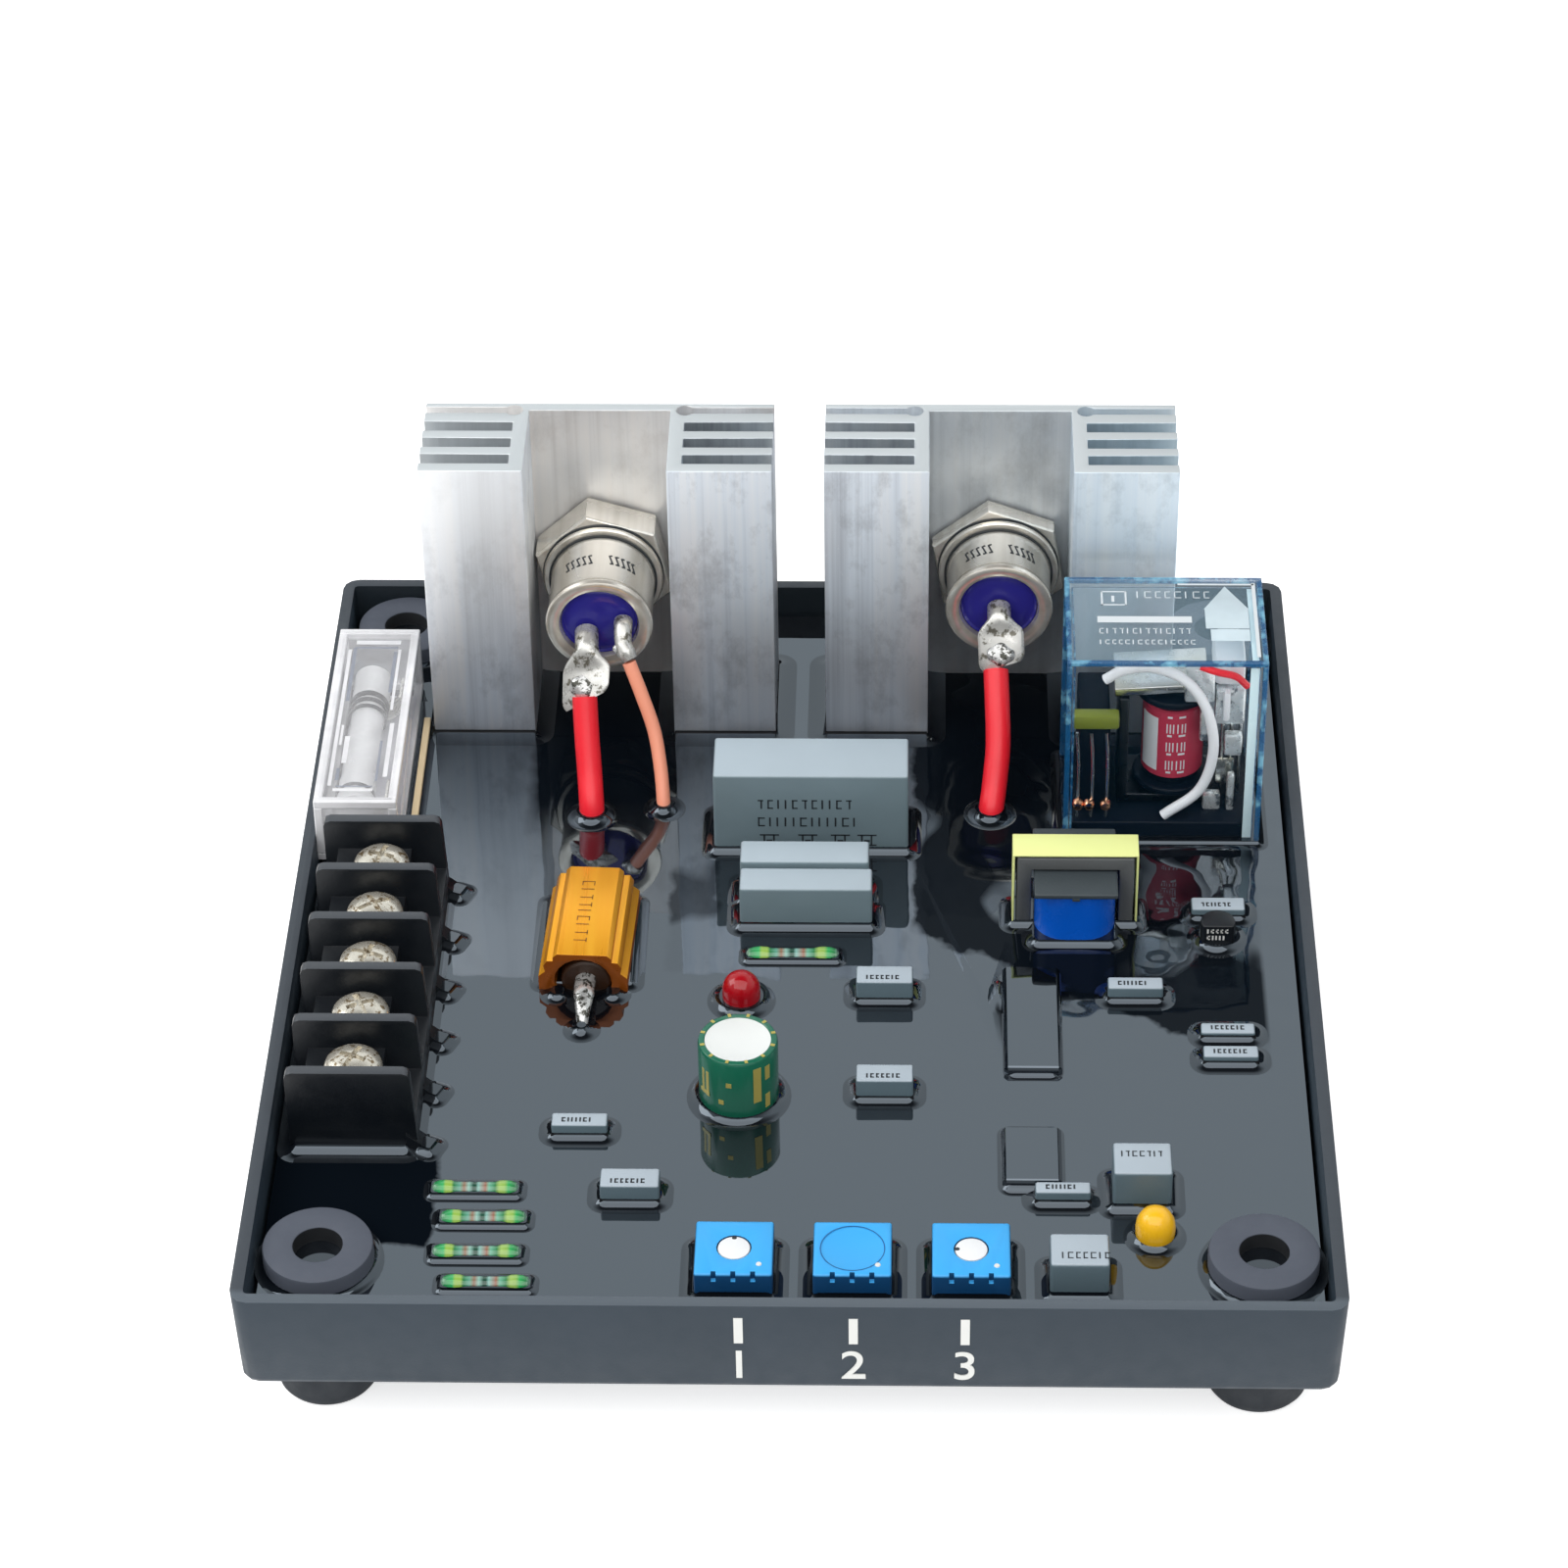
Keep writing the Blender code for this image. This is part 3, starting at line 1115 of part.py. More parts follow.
def make_trimmers(blue, white):
    y = -TRAY_DEPTH / 2 + TRIMMER_INSET_FRONT
    for i in range(3):
        x = TRIMMER_CENTRE_X + (i - 1) * TRIMMER_PITCH
        name = f"trimmer_{i + 1}"
        body = box_part(name, (TRIMMER_SIDE, TRIMMER_SIDE, TRIMMER_HEIGHT), (x, y, SEAT), blue, TRIMMER_EDGE)
        for j in (-1, 0, 1):
            bm = bmesh.new()
            block(bm, (TRIMMER_NOTCH, 2 * TRIMMER_NOTCH, TRIMMER_HEIGHT))
            where = (x + j * TRIMMER_NOTCH_PITCH, y - TRIMMER_SIDE / 2, SEAT + TRIMMER_HEIGHT - 0.0012)
            cut(body, add_mesh(f"{name}_notch", bm, None, where))
        pocket_box(name, (TRIMMER_SIDE, TRIMMER_SIDE), (x, y))
        top = SEAT + TRIMMER_HEIGHT
        if i == 1:
            bm = bmesh.new()
            rod(bm, SEALED_RADIUS, SEALED_GROOVE * 4)
            cut(body, add_mesh(name + "_seal_step", bm, None, (x, y, top - SEALED_GROOVE)))
            continue
        bm = bmesh.new()
        rod(bm, ROTOR_RADIUS + TURN_GAP, 2 * ROTOR_HEIGHT)
        cut(body, add_mesh(name + "_well", bm, None, (x, y, top - ROTOR_HEIGHT - GAP)))
        bm = bmesh.new()
        rod(bm, ROTOR_RADIUS, ROTOR_HEIGHT, (0, 0, -ROTOR_HEIGHT))
        turn = 0.0 if i == 0 else math.pi / 2
        rotor = add_mesh(f"trimmer_rotor_{i + 1}", bm, white, (x, y, top), (0, 0, turn), smooth=True)
        for slot_name, size, along in (
            ("slot", (ROTOR_SLOT_WIDTH, 1.3 * ROTOR_RADIUS, 2 * ROTOR_SLOT_DEPTH), 0.0),
            ("mark", (2 * ROTOR_NOTCH, 2 * ROTOR_NOTCH, 4 * ROTOR_SLOT_DEPTH), ROTOR_RADIUS),
        ):
            bm = bmesh.new()
            block(bm, size, (0, along, -size[2] / 2))
            cut(rotor, add_mesh(f"trimmer_rotor_{i + 1}_{slot_name}", bm, None, (x, y, top), (0, 0, turn)))


# Other components

def make_box_capacitors(shell):
    for name, (size, place) in BOX_CAPACITORS.items():
        box_part(name, size, on_board(place), shell, BOX_CAPACITOR_EDGE)
        pocket_box(name, size, on_board(place))


def make_can_capacitor(sleeve):
    """A sleeved can with a crimp round its foot and a lip round its vented top."""
    r, h = CAN_CAPACITOR_RADIUS, CAN_CAPACITOR_HEIGHT
    profile = [
        (0.0, h - 0.0003),
        (0.80 * r, h - 0.0003),
        (0.84 * r, h),
        (0.93 * r, h),
        (r, h - 0.0006),
        (r, 0.0022),
        (0.93 * r, 0.0016),
        (r, 0.0010),
        (r, 0.0003),
        (0.95 * r, 0.0),
        (0.0, 0.0),
    ]
    turned("electrolytic_capacitor", profile, sleeve, on_board(CAN_CAPACITOR_PLACE))
    pocket_round("electrolytic_capacitor", r, on_board(CAN_CAPACITOR_PLACE))


def make_bead_capacitor(yellow):
    bm = bmesh.new()
    bmesh.ops.create_uvsphere(bm, u_segments=SMALL_STEPS, v_segments=8, radius=1.0)
    bmesh.ops.scale(bm, vec=(BEAD_RADIUS, BEAD_RADIUS, BEAD_HEIGHT / 2), verts=bm.verts)
    bmesh.ops.translate(bm, vec=(0, 0, BEAD_HEIGHT / 2), verts=bm.verts)
    add_mesh("bead_capacitor", bm, yellow, on_board(BEAD_PLACE), smooth=True)
    pocket_round("bead_capacitor", BEAD_RADIUS, on_board(BEAD_PLACE), SMALL_STEPS)


def make_led(red_lens):
    dome = [(LED_RADIUS * math.cos(a), LED_HEIGHT - LED_RADIUS + LED_RADIUS * math.sin(a))
            for a in (math.pi / 2, math.pi / 3, math.pi / 6, 0.0)]
    dome[0] = (0.0, LED_HEIGHT)
    flange = LED_RADIUS + 0.0004
    profile = dome + [(LED_RADIUS, 0.0010), (flange, 0.0010), (flange, 0.0), (0.0, 0.0)]
    turned("indicator_led", profile, red_lens, on_board(LED_PLACE), steps=SMALL_STEPS)
    pocket_round("indicator_led", flange, on_board(LED_PLACE), SMALL_STEPS)


def make_transistor(black):
    """A half-round transistor body, flat to the front."""
    start = math.asin(-TRANSISTOR_FLAT / TRANSISTOR_RADIUS)
    outline = arc(TRANSISTOR_RADIUS, start, math.pi - start, 12)
    extruded("transistor", outline, TRANSISTOR_HEIGHT, black, on_board(TRANSISTOR_PLACE))
    pocket_round("transistor", TRANSISTOR_RADIUS, on_board(TRANSISTOR_PLACE), SMALL_STEPS)


def make_cased_resistor(gold, ceramic):
    """An extruded aluminium housing over a ceramic core, with a solder tab at each end."""
    place = on_board(CASED_PLACE)
    half, top, h = CASED_WIDTH / 2, CASED_TOP_WIDTH / 2, CASED_HEIGHT
    right = [
        (top, h),
        (top + 0.0006, h - 0.0006),
        (top + 0.0006, h - 0.0012),
        (top + 0.0014, h - 0.0012),
        (top + 0.0019, h - 0.0021),
        (top + 0.0017, h - 0.0030),
        (half, h - 0.0038),
        (half, 0.0),
    ]
    outline = right + [(-x, y) for x, y in reversed(right)]
    axis = empty("cased_resistor_axis", place, (0, 0, CASED_TURN))
    housing = attach(
        extruded("resistor_housing", outline, CASED_LENGTH, gold, (0, CASED_LENGTH / 2, 0), (math.pi / 2, 0, 0)),
        axis,
    )
    bm = bmesh.new()
    rod(bm, CASED_BORE_RADIUS, 2 * CASED_LENGTH, (0, 0, -CASED_LENGTH))
    cut(housing, attach(
        add_mesh("resistor_bore", bm, None, (0, 0, CASED_AXIS), (math.pi / 2, 0, 0)), axis
    ))
    bm = bmesh.new()
    length = CASED_LENGTH - 2 * GAP
    rod(bm, CASED_BORE_RADIUS - GAP, length, (0, 0, -length / 2))
    core = attach(add_mesh("resistor_core", bm, ceramic, (0, 0, CASED_AXIS), (math.pi / 2, 0, 0)), axis)
    for side in (-1, 1):
        tab = TAB_LENGTH if side < 0 else TAB_LENGTH / 2
        bm = bmesh.new()
        block(bm, (TAB_WIDTH, tab + 0.001, TAB_THICKNESS), (0, side * (length / 2 + tab / 2), -TAB_THICKNESS / 2))
        join(core, attach(add_mesh(f"resistor_tab_{side}", bm, ceramic, (0, 0, CASED_AXIS)), axis))
        pin_y = side * (length / 2 + tab)
        drop = CASED_AXIS - TAB_THICKNESS / 2
        bm = bmesh.new()
        block(bm, (TAB_THICKNESS, TAB_THICKNESS, drop), (0, pin_y, -drop))
        join(core, attach(add_mesh(f"resistor_pin_{side}", bm, ceramic, (0, 0, CASED_AXIS)), axis))
        pin = Matrix.Rotation(CASED_TURN, 4, "Z") @ Vector((0, pin_y, 0))
        pocket_box(
            f"resistor_pin_{side}", (2 * TAB_THICKNESS, 2 * TAB_THICKNESS), place + pin, turn=CASED_TURN
        )
    pocket_box("resistor_housing", (CASED_WIDTH, CASED_LENGTH), place, turn=CASED_TURN)


def make_transformer(ferrite, tape, bobbin, winding):
    """Two E cores with their centre leg inside the winding, taped round the outside."""
    place = on_board(TRANSFORMER_PLACE)
    inner = CORE_WIDTH - 2 * TAPE_THICKNESS - 2 * GAP
    height = CORE_HEIGHT - TAPE_THICKNESS - GAP
    bm = bmesh.new()
    block(bm, (inner, CORE_DEPTH, height))
    core = add_mesh("transformer_core", bm, ferrite, place)
    window = inner - 2 * CORE_LEG
    top_of_window = height - CORE_LEG
    bm = bmesh.new()
    block(bm, (window, 2 * CORE_DEPTH, top_of_window + 0.001), (0, 0, -0.001))
    cut(core, add_mesh("transformer_window", bm, None, place))
    half = CORE_WIDTH / 2
    thin = TAPE_THICKNESS
    outline = [
        (-half, 0.0), (-half + thin, 0.0), (-half + thin, CORE_HEIGHT - thin), (half - thin, CORE_HEIGHT - thin),
        (half - thin, 0.0), (half, 0.0), (half, CORE_HEIGHT), (-half, CORE_HEIGHT),
    ]
    where = place + Vector((0, CORE_DEPTH / 2, 0))
    extruded("transformer_tape", outline, CORE_DEPTH, tape, where, (math.pi / 2, 0, 0))
    bm = bmesh.new()
    verts = block(bm, (WINDING_WIDTH, WINDING_DEPTH, WINDING_HEIGHT))
    round_edges(bm, verts, 0.0022, 3, is_upright)
    add_mesh("transformer_winding", bm, winding, place, smooth=True)
    box_part(
        "transformer_bobbin", (min(BOBBIN_WIDTH, window - 2 * GAP), BOBBIN_DEPTH, BOBBIN_FLANGE),
        place + Vector((0, 0, WINDING_HEIGHT + GAP)), bobbin,
    )
    pocket_box("transformer_core", (CORE_WIDTH, CORE_DEPTH), place)
    pocket_box("transformer_winding", (WINDING_WIDTH, WINDING_DEPTH), place)


# Assembly

clear_scene()
parts = new_collection("voltage_regulator")
cutters = new_collection("cutters")
pockets = new_collection("pockets")


def main():
    tray_plastic = new_material("tray_plastic", (0.075, 0.085, 0.095), 0.45)
    resin = new_material("black_resin", (0.012, 0.013, 0.016), 0.08)
    rubber = new_material("rubber", (0.09, 0.095, 0.10), 0.65)
    laminate = new_material("laminate", (0.03, 0.10, 0.05), 0.5)
    aluminium = new_material("aluminium", (0.78, 0.79, 0.80), 0.30, 1.0)
    nickel = new_material("nickel", (0.72, 0.69, 0.62), 0.22, 1.0)
    zinc = new_material("zinc", (0.62, 0.63, 0.64), 0.35, 1.0)
    tin = new_material("tin", (0.76, 0.76, 0.74), 0.28, 1.0)
    violet_glass = new_material("violet_glass", (0.025, 0.02, 0.16), 0.12)
    red = new_material("red_sleeve", (0.75, 0.02, 0.04), 0.35)
    orange = new_material("orange_sleeve", (0.85, 0.28, 0.16), 0.40)
    relay_clear = new_material("relay_clear", (0.45, 0.72, 0.88), 0.05, alpha=0.35)
    fuse_clear = new_material("fuse_clear", (0.92, 0.93, 0.96), 0.05, alpha=0.35)
    black = new_material("black_moulding", (0.02, 0.022, 0.025), 0.40)
    copper = new_material("coil_wrap", (0.55, 0.06, 0.10), 0.45)
    steel = new_material("steel", (0.66, 0.66, 0.64), 0.28, 1.0)
    white = new_material("white", (0.88, 0.88, 0.86), 0.45)
    ivory = new_material("ivory", (0.85, 0.75, 0.58), 0.45)
    ceramic = new_material("ceramic", (0.80, 0.80, 0.78), 0.30)
    blue = new_material("trimmer_blue", (0.05, 0.36, 0.75), 0.40)
    shell = new_material("capacitor_grey", (0.26, 0.30, 0.34), 0.45)
    sleeve = new_material("sleeve_green", (0.02, 0.20, 0.20), 0.30)
    yellow = new_material("bead_yellow", (0.85, 0.45, 0.03), 0.25)
    red_lens = new_material("red_lens", (0.55, 0.01, 0.02), 0.12)
    gold = new_material("gold_anodised", (0.85, 0.45, 0.05), 0.30, 0.8)
    ferrite = new_material("ferrite", (0.03, 0.03, 0.03), 0.60)
    tape = new_material("yellow_tape", (0.80, 0.85, 0.30), 0.35)
    winding = new_material("blue_winding", (0.01, 0.10, 0.55), 0.30)

    make_tray(tray_plastic)
    make_feet(rubber)
    make_board(laminate)
    left_sink, left_x = make_sink("heat_sink_left", -1, aluminium)
    right_sink, right_x = make_sink("heat_sink_right", 1, aluminium)
    make_thyristor(left_sink, left_x, nickel, violet_glass, zinc, tin, red, orange)
    make_diode(right_sink, right_x, nickel, violet_glass, zinc, tin, red)
    make_relay(relay_clear, black, copper, steel, white)
    make_fuse_holder(fuse_clear, ivory, ceramic, tin)
    make_terminal_block(black, tin)
    make_trimmers(blue, white)
    make_box_capacitors(shell)
    make_can_capacitor(sleeve)
    make_bead_capacitor(yellow)
    make_led(red_lens)
    make_transistor(black)
    make_cased_resistor(gold, ceramic)
    make_transformer(ferrite, tape, shell, winding)
    make_resin(resin)


main()
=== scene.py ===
import math

import bmesh
import bpy
from mathutils import Matrix, Quaternion, Vector


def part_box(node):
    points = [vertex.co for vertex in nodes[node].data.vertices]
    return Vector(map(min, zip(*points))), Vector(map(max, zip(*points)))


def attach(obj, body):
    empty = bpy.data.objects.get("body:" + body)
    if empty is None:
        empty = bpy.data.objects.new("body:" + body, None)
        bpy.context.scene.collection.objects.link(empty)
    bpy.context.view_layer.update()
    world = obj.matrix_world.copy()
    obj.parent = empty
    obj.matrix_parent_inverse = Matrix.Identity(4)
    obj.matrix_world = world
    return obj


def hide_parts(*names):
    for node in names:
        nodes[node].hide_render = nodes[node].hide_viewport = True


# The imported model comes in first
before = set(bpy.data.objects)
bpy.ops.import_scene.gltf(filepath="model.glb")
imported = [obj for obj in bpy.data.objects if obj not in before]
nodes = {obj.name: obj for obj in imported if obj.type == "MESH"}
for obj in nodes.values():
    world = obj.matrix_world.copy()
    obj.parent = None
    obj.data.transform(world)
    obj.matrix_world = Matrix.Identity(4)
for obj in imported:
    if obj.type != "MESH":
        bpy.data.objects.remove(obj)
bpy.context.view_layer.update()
mm = 0.001


# Camera, found by fitting the photograph
view = {"place": (14.967, -501.328, 434.518), "lens": 112.59, "pitch": 37.85, "yaw": -1.928, "roll": -0.927}


def makeCamera():
    pitch, yaw, roll = (math.radians(view[k]) for k in ("pitch", "yaw", "roll"))
    forward = Vector((math.sin(yaw) * math.cos(pitch), math.cos(yaw) * math.cos(pitch), -math.sin(pitch)))
    camera = bpy.data.objects.new("camera", bpy.data.cameras.new("camera"))
    camera.data.lens = view["lens"]
    camera.data.sensor_width = 36
    camera.data.clip_start = 0.01
    camera.location = Vector(view["place"]) * mm
    camera.rotation_mode = "QUATERNION"
    camera.rotation_quaternion = forward.to_track_quat("-Z", "Y") @ Quaternion((0, 0, 1), roll)
    bpy.context.scene.collection.objects.link(camera)
    bpy.context.scene.camera = camera


makeCamera()
print("camera placed")


# Shader maths: a wrapped socket that takes ordinary operators
class Wire:
    def __init__(self, finish, socket):
        self.finish, self.socket = finish, socket

    def math(self, operation, *others):
        values = {i: value for i, value in enumerate((self, *others))}
        return self.finish.node("ShaderNodeMath", {"operation": operation}, values)

    def __add__(self, other):
        return self.math("ADD", other)

    def __sub__(self, other):
        return self.math("SUBTRACT", other)

    def __mul__(self, other):
        return self.math("MULTIPLY", other)

    def __pow__(self, other):
        return self.math("POWER", other)

    def __gt__(self, other):
        return self.math("GREATER_THAN", other)

    def __lt__(self, other):
        return self.math("LESS_THAN", other)

    def __abs__(self):
        return self.math("ABSOLUTE")

    def least(self, other):
        return self.math("MINIMUM", other)

    def most(self, other):
        return self.math("MAXIMUM", other)


class Finish:
    def __init__(self, name, base, roughness, metallic=0.0, **constants):
        self.material = bpy.data.materials.new(name)
        self.material.use_nodes = True
        self.tree = self.material.node_tree
        self.shader = self.tree.nodes["Principled BSDF"]
        self.colour(base)
        self.put("Roughness", roughness)
        self.put("Metallic", metallic)
        for socket, value in constants.items():
            self.put(socket.replace("_", " "), value)

    def fill(self, target, value):
        if isinstance(value, Wire):
            self.tree.links.new(value.socket, target)
        elif isinstance(value, tuple) and len(value) == 3 and target.type == "RGBA":
            target.default_value = (*value, 1.0)
        else:
            target.default_value = value

    def put(self, socket, value):
        self.fill(self.shader.inputs[socket], value)

    def colour(self, value):
        self.put("Base Color", value)

    def node(self, kind, settings=None, values=None, output=0):
        made = self.tree.nodes.new(kind)
        for key, setting in (settings or {}).items():
            setattr(made, key, setting)
        for key, value in (values or {}).items():
            self.fill(made.inputs[key], value)
        return Wire(self, made.outputs[output])

    def axis(self, vector, name):
        return self.node("ShaderNodeSeparateXYZ", None, {0: vector}, name)

    def xyz(self):
        place = self.node("ShaderNodeTexCoord", output="Object")
        return [self.axis(place, name) for name in "XYZ"]

    def facing(self, name="Z"):
        return self.axis(self.node("ShaderNodeNewGeometry", output="Normal"), name)

    def noise(self, scale, detail=3.0, stretch=(1, 1, 1), roughness=0.5):
        place = self.node("ShaderNodeTexCoord", output="Object")
        vector = self.node("ShaderNodeMapping", None, {"Vector": place, "Scale": stretch})
        values = {"Vector": vector, "Scale": scale, "Detail": detail, "Roughness": roughness}
        return self.node("ShaderNodeTexNoise", None, values, "Fac")

    def ramp(self, factor, *stops):
        wire = self.node("ShaderNodeValToRGB", None, {"Fac": factor}, "Color")
        ramp = wire.socket.node.color_ramp.elements
        for i, (position, colour) in enumerate(stops):
            stop = ramp[i] if i < len(ramp) else ramp.new(position)
            stop.position = position
            stop.color = (*colour, 1.0)
        return wire

    def mix(self, factor, first, second):
        return self.node("ShaderNodeMix", {"data_type": "RGBA"}, {0: factor, 6: first, 7: second}, 2)

    def tint(self, mask, body, share, colour):
        return self.mix(mask, body, self.mix(share, body, colour))

    def rise(self, value, low=0.0, high=1.0, start=0.0, end=1.0):
        values = {"Value": value, "From Min": low, "From Max": high, "To Min": start, "To Max": end}
        return self.node("ShaderNodeMapRange", {"clamp": True}, values)

    def fall(self, value, low, high, start=1.0, end=0.0):
        return self.rise(value, low, high, start, end)

    def bump(self, height, strength=0.3, distance=0.0002):
        values = {"Height": height, "Strength": strength, "Distance": distance}
        self.put("Normal", self.node("ShaderNodeBump", None, values))


# Mesh helpers: every finished piece sits at the origin, with its place in its mesh
def boxOf(node):
    low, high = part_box(node)
    return low / mm, high / mm


def centreOf(node):
    low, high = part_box(node)
    return (low + high) / 2 / mm


def camel(node):
    first, *others = node.split("_")
    return first + "".join(other.title() for other in others)


def finishPiece(bm, name, finish, replaced=(), body="module", angle=32, flip=True):
    if flip:
        bmesh.ops.recalc_face_normals(bm, faces=bm.faces)
    mesh = bpy.data.meshes.new(name)
    bm.to_mesh(mesh)
    bm.free()
    mesh.shade_smooth()
    mesh.set_sharp_from_angle(angle=math.radians(angle))
    for one in finish if isinstance(finish, list) else [finish]:
        mesh.materials.append(one.material)
    piece = bpy.data.objects.new(name, mesh)
    bpy.context.scene.collection.objects.link(piece)
    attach(piece, body)
    if replaced:
        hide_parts(*replaced)
    return piece


def copyNode(node):
    bm = bmesh.new()
    bm.from_mesh(nodes[node].data)
    for layer in list(bm.loops.layers.uv):
        bm.loops.layers.uv.remove(layer)
    bmesh.ops.remove_doubles(bm, verts=bm.verts, dist=0.000012)
    bmesh.ops.dissolve_limit(bm, angle_limit=math.radians(1), verts=bm.verts, edges=bm.edges)
    return bm


def bevelEdges(bm, edges, width, segments=2, material=-1):
    return bmesh.ops.bevel(bm, geom=list(edges), offset=width * mm, segments=segments, affect="EDGES",
                           profile=0.5, material=material, clamp_overlap=True)


def sharpEdges(bm, angle=30):
    return [e for e in bm.edges if len(e.link_faces) == 2 and e.calc_face_angle(0) > math.radians(angle)]


def edgesOf(verts):
    return {e for v in verts for e in v.link_edges}


def soften(node, width, finish, angle=30, body="module", keep=lambda e: True, name=None):
    bm = copyNode(node)
    bevelEdges(bm, [e for e in sharpEdges(bm, angle) if keep(e)], width)
    finishPiece(bm, name or camel(node), finish, (node,), body)


def block(bm, low, high, width=0.0, segments=2):
    low, high = Vector(low) * mm, Vector(high) * mm
    matrix = Matrix.LocRotScale((low + high) / 2, None, high - low)
    verts = bmesh.ops.create_cube(bm, size=1.0, matrix=matrix)["verts"]
    if width:
        bevelEdges(bm, edgesOf(verts), width, segments)


def blockPiece(name, boxes, finish, replaced=()):
    # each box has a low corner, a high corner and a rounding, in mm
    bm = bmesh.new()
    for box in boxes:
        block(bm, *box)
    finishPiece(bm, name, finish, replaced)


def spun(bm, profile, steps, centre, axis="Z"):
    # profile is (radius, height) in mm, down the outer side; with -Y, height runs out to the front
    verts = [bm.verts.new((r * mm, 0, z * mm)) for r, z in profile]
    edges = [bm.edges.new(pair) for pair in zip(verts, verts[1:])]
    start = set(bm.verts) - set(verts)
    bmesh.ops.spin(bm, geom=verts + edges, cent=(0, 0, 0), axis=(0, 0, 1), angle=2 * math.pi,
                   steps=steps, use_merge=True)
    bmesh.ops.remove_doubles(bm, verts=[v for v in bm.verts if v not in start], dist=0.000002)
    made = [v for v in bm.verts if v not in start]
    if axis != "Z":
        turn = Matrix.Rotation(math.pi / 2, 3, "X" if axis == "-Y" else "Y")
        bmesh.ops.rotate(bm, verts=made, cent=(0, 0, 0), matrix=turn)
    bmesh.ops.translate(bm, verts=made, vec=Vector(centre) * mm)


def spunPiece(name, profile, steps, centre, finish, replaced=(), body="module", angle=32, axis="Z"):
    bm = bmesh.new()
    spun(bm, profile, steps, centre, axis)
    return finishPiece(bm, name, finish, replaced, body, angle)


def smoothRoute(points, steps=8):
    points = [Vector(p) for p in points]
    padded = [2 * points[0] - points[1], *points, 2 * points[-1] - points[-2]]
    route = []
    for a, b, c, d in zip(padded, padded[1:], padded[2:], padded[3:]):
        for t in (i / steps for i in range(steps)):
            route.append(0.5 * (2 * b + (c - a) * t + (2 * a - 5 * b + 4 * c - d) * t**2
                                + (3 * b - a - 3 * c + d) * t**3))
    return [*route, points[-1]]


def tube(bm, points, radius, sides=14, steps=8, radii=None, flatten=None, twist=0.0):
    # a ring of points carried along the route and bridged to the next ring
    route = [p * mm for p in smoothRoute(points, steps)]
    widths = radii or [radius] * len(points)
    rings = []
    side = Vector((1, 0, 0))
    for i, centre in enumerate(route):
        ahead = (route[min(i + 1, len(route) - 1)] - route[max(i - 1, 0)]).normalized()
        side = (side - ahead * side.dot(ahead)).normalized()
        share = i / steps
        k = min(int(share), len(widths) - 2)
        size = widths[k] + (widths[k + 1] - widths[k]) * min(share - k, 1.0)
        across, up = (size, size) if flatten is None else flatten(share / (len(points) - 1), size)
        turn = axes(side, ahead.cross(side), ahead) @ Matrix.Rotation(twist * i / (len(route) - 1), 4, "Z")
        matrix = Matrix.Translation(centre) @ turn @ Matrix.Diagonal((across * mm, up * mm, 1, 1))
        rings.append(bmesh.ops.create_circle(bm, segments=sides, radius=1.0, matrix=matrix)["verts"])
    for first, second in zip(rings, rings[1:]):
        for i in range(sides):
            j = (i + 1) % sides
            bm.faces.new((first[i], first[j], second[j], second[i]))
    bm.faces.new(rings[0])
    bm.faces.new(rings[-1])
    return [v for ring in rings for v in ring]


def axes(across, up, out):
    return Matrix((across, up, out)).transposed().to_4x4()


def stamp(bm, place, turn, size):
    # a small box in mm, lying along the directions of its turn
    scale = Matrix.Diagonal((*(s * mm for s in size), 1))
    bmesh.ops.create_cube(bm, size=1.0, matrix=Matrix.Translation(Vector(place) * mm) @ turn @ scale)


def roundStamps(bm, centre, radius, base, thick, marks):
    # marks on an upright cylinder: angle, middle height, height and width
    for angle, z, tall, wide in marks:
        out = Vector((math.cos(math.radians(angle)), math.sin(math.radians(angle)), 0))
        place = (centre.x + radius * out.x, centre.y + radius * out.y, base + z)
        stamp(bm, place, axes(Vector((-out.y, out.x, 0)), Vector((0, 0, 1)), out), (wide, tall, thick))


def bars(bm, rows, origin, right=(1, 0, 0), up=(0, 1, 0), thick=0.03):
    # rows of (x, y, width, height) marks in mm, lying on a face
    origin, right, up = Vector(origin), Vector(right), Vector(up)
    out = right.cross(up)
    for x, y, width, height in rows:
        centre = origin + right * (x + width / 2) + up * (y + height / 2) + out * thick / 2
        stamp(bm, centre, axes(right, up, out), (width, height, thick))


def barPiece(name, rows, origin, finish, slot, body="module", thick=0.02, **directions):
    bm = bmesh.new()
    bars(bm, rows, origin, thick=thick, **directions)
    finishPiece(bm, name, finish, body=body)


def wordBars(seed, count, height, gap=0.35, start=0.0, line=0.0, thin=0.35):
    # a run of plain uprights and dashes, as dense as small print
    made, x = [], start
    for i in range(count):
        kind = (seed * 7 + i * 5 + i * i) % 5
        width = (0.5, 0.35, 0.62, 0.28, 0.5)[kind] * height
        stroke = thin * (0.45 if kind in (1, 3) else 0.4)
        made.append((x + (width / 2 if kind == 4 else 0), line, stroke, height))
        if kind in (0, 2):
            made.append((x, line, width, stroke))
        if kind in (0, 2, 4):
            made.append((x, line + height - stroke, width, stroke))
        x += width + gap * height
    return made


# Finishes
def plainFinish(name, base, roughness, metallic=0.0, grain=0.0, shift=0.12, **constants):
    # a moulded surface: small changes of tone and roughness, and a fine grain
    finish = Finish(name, base, roughness, metallic, **constants)
    darker = tuple(c * (1 - shift) for c in base)
    lighter = tuple(min(1.0, c * (1 + shift)) for c in base)
    finish.colour(finish.mix(finish.noise(90, 3), darker, lighter))
    worn = finish.noise(400, 2)
    finish.put("Roughness", finish.rise(worn, 0.3, 0.7, roughness * 0.85, min(1.0, roughness * 1.15)))
    if grain:
        finish.bump(finish.noise(2600, 2), grain, 0.00006)
    return finish


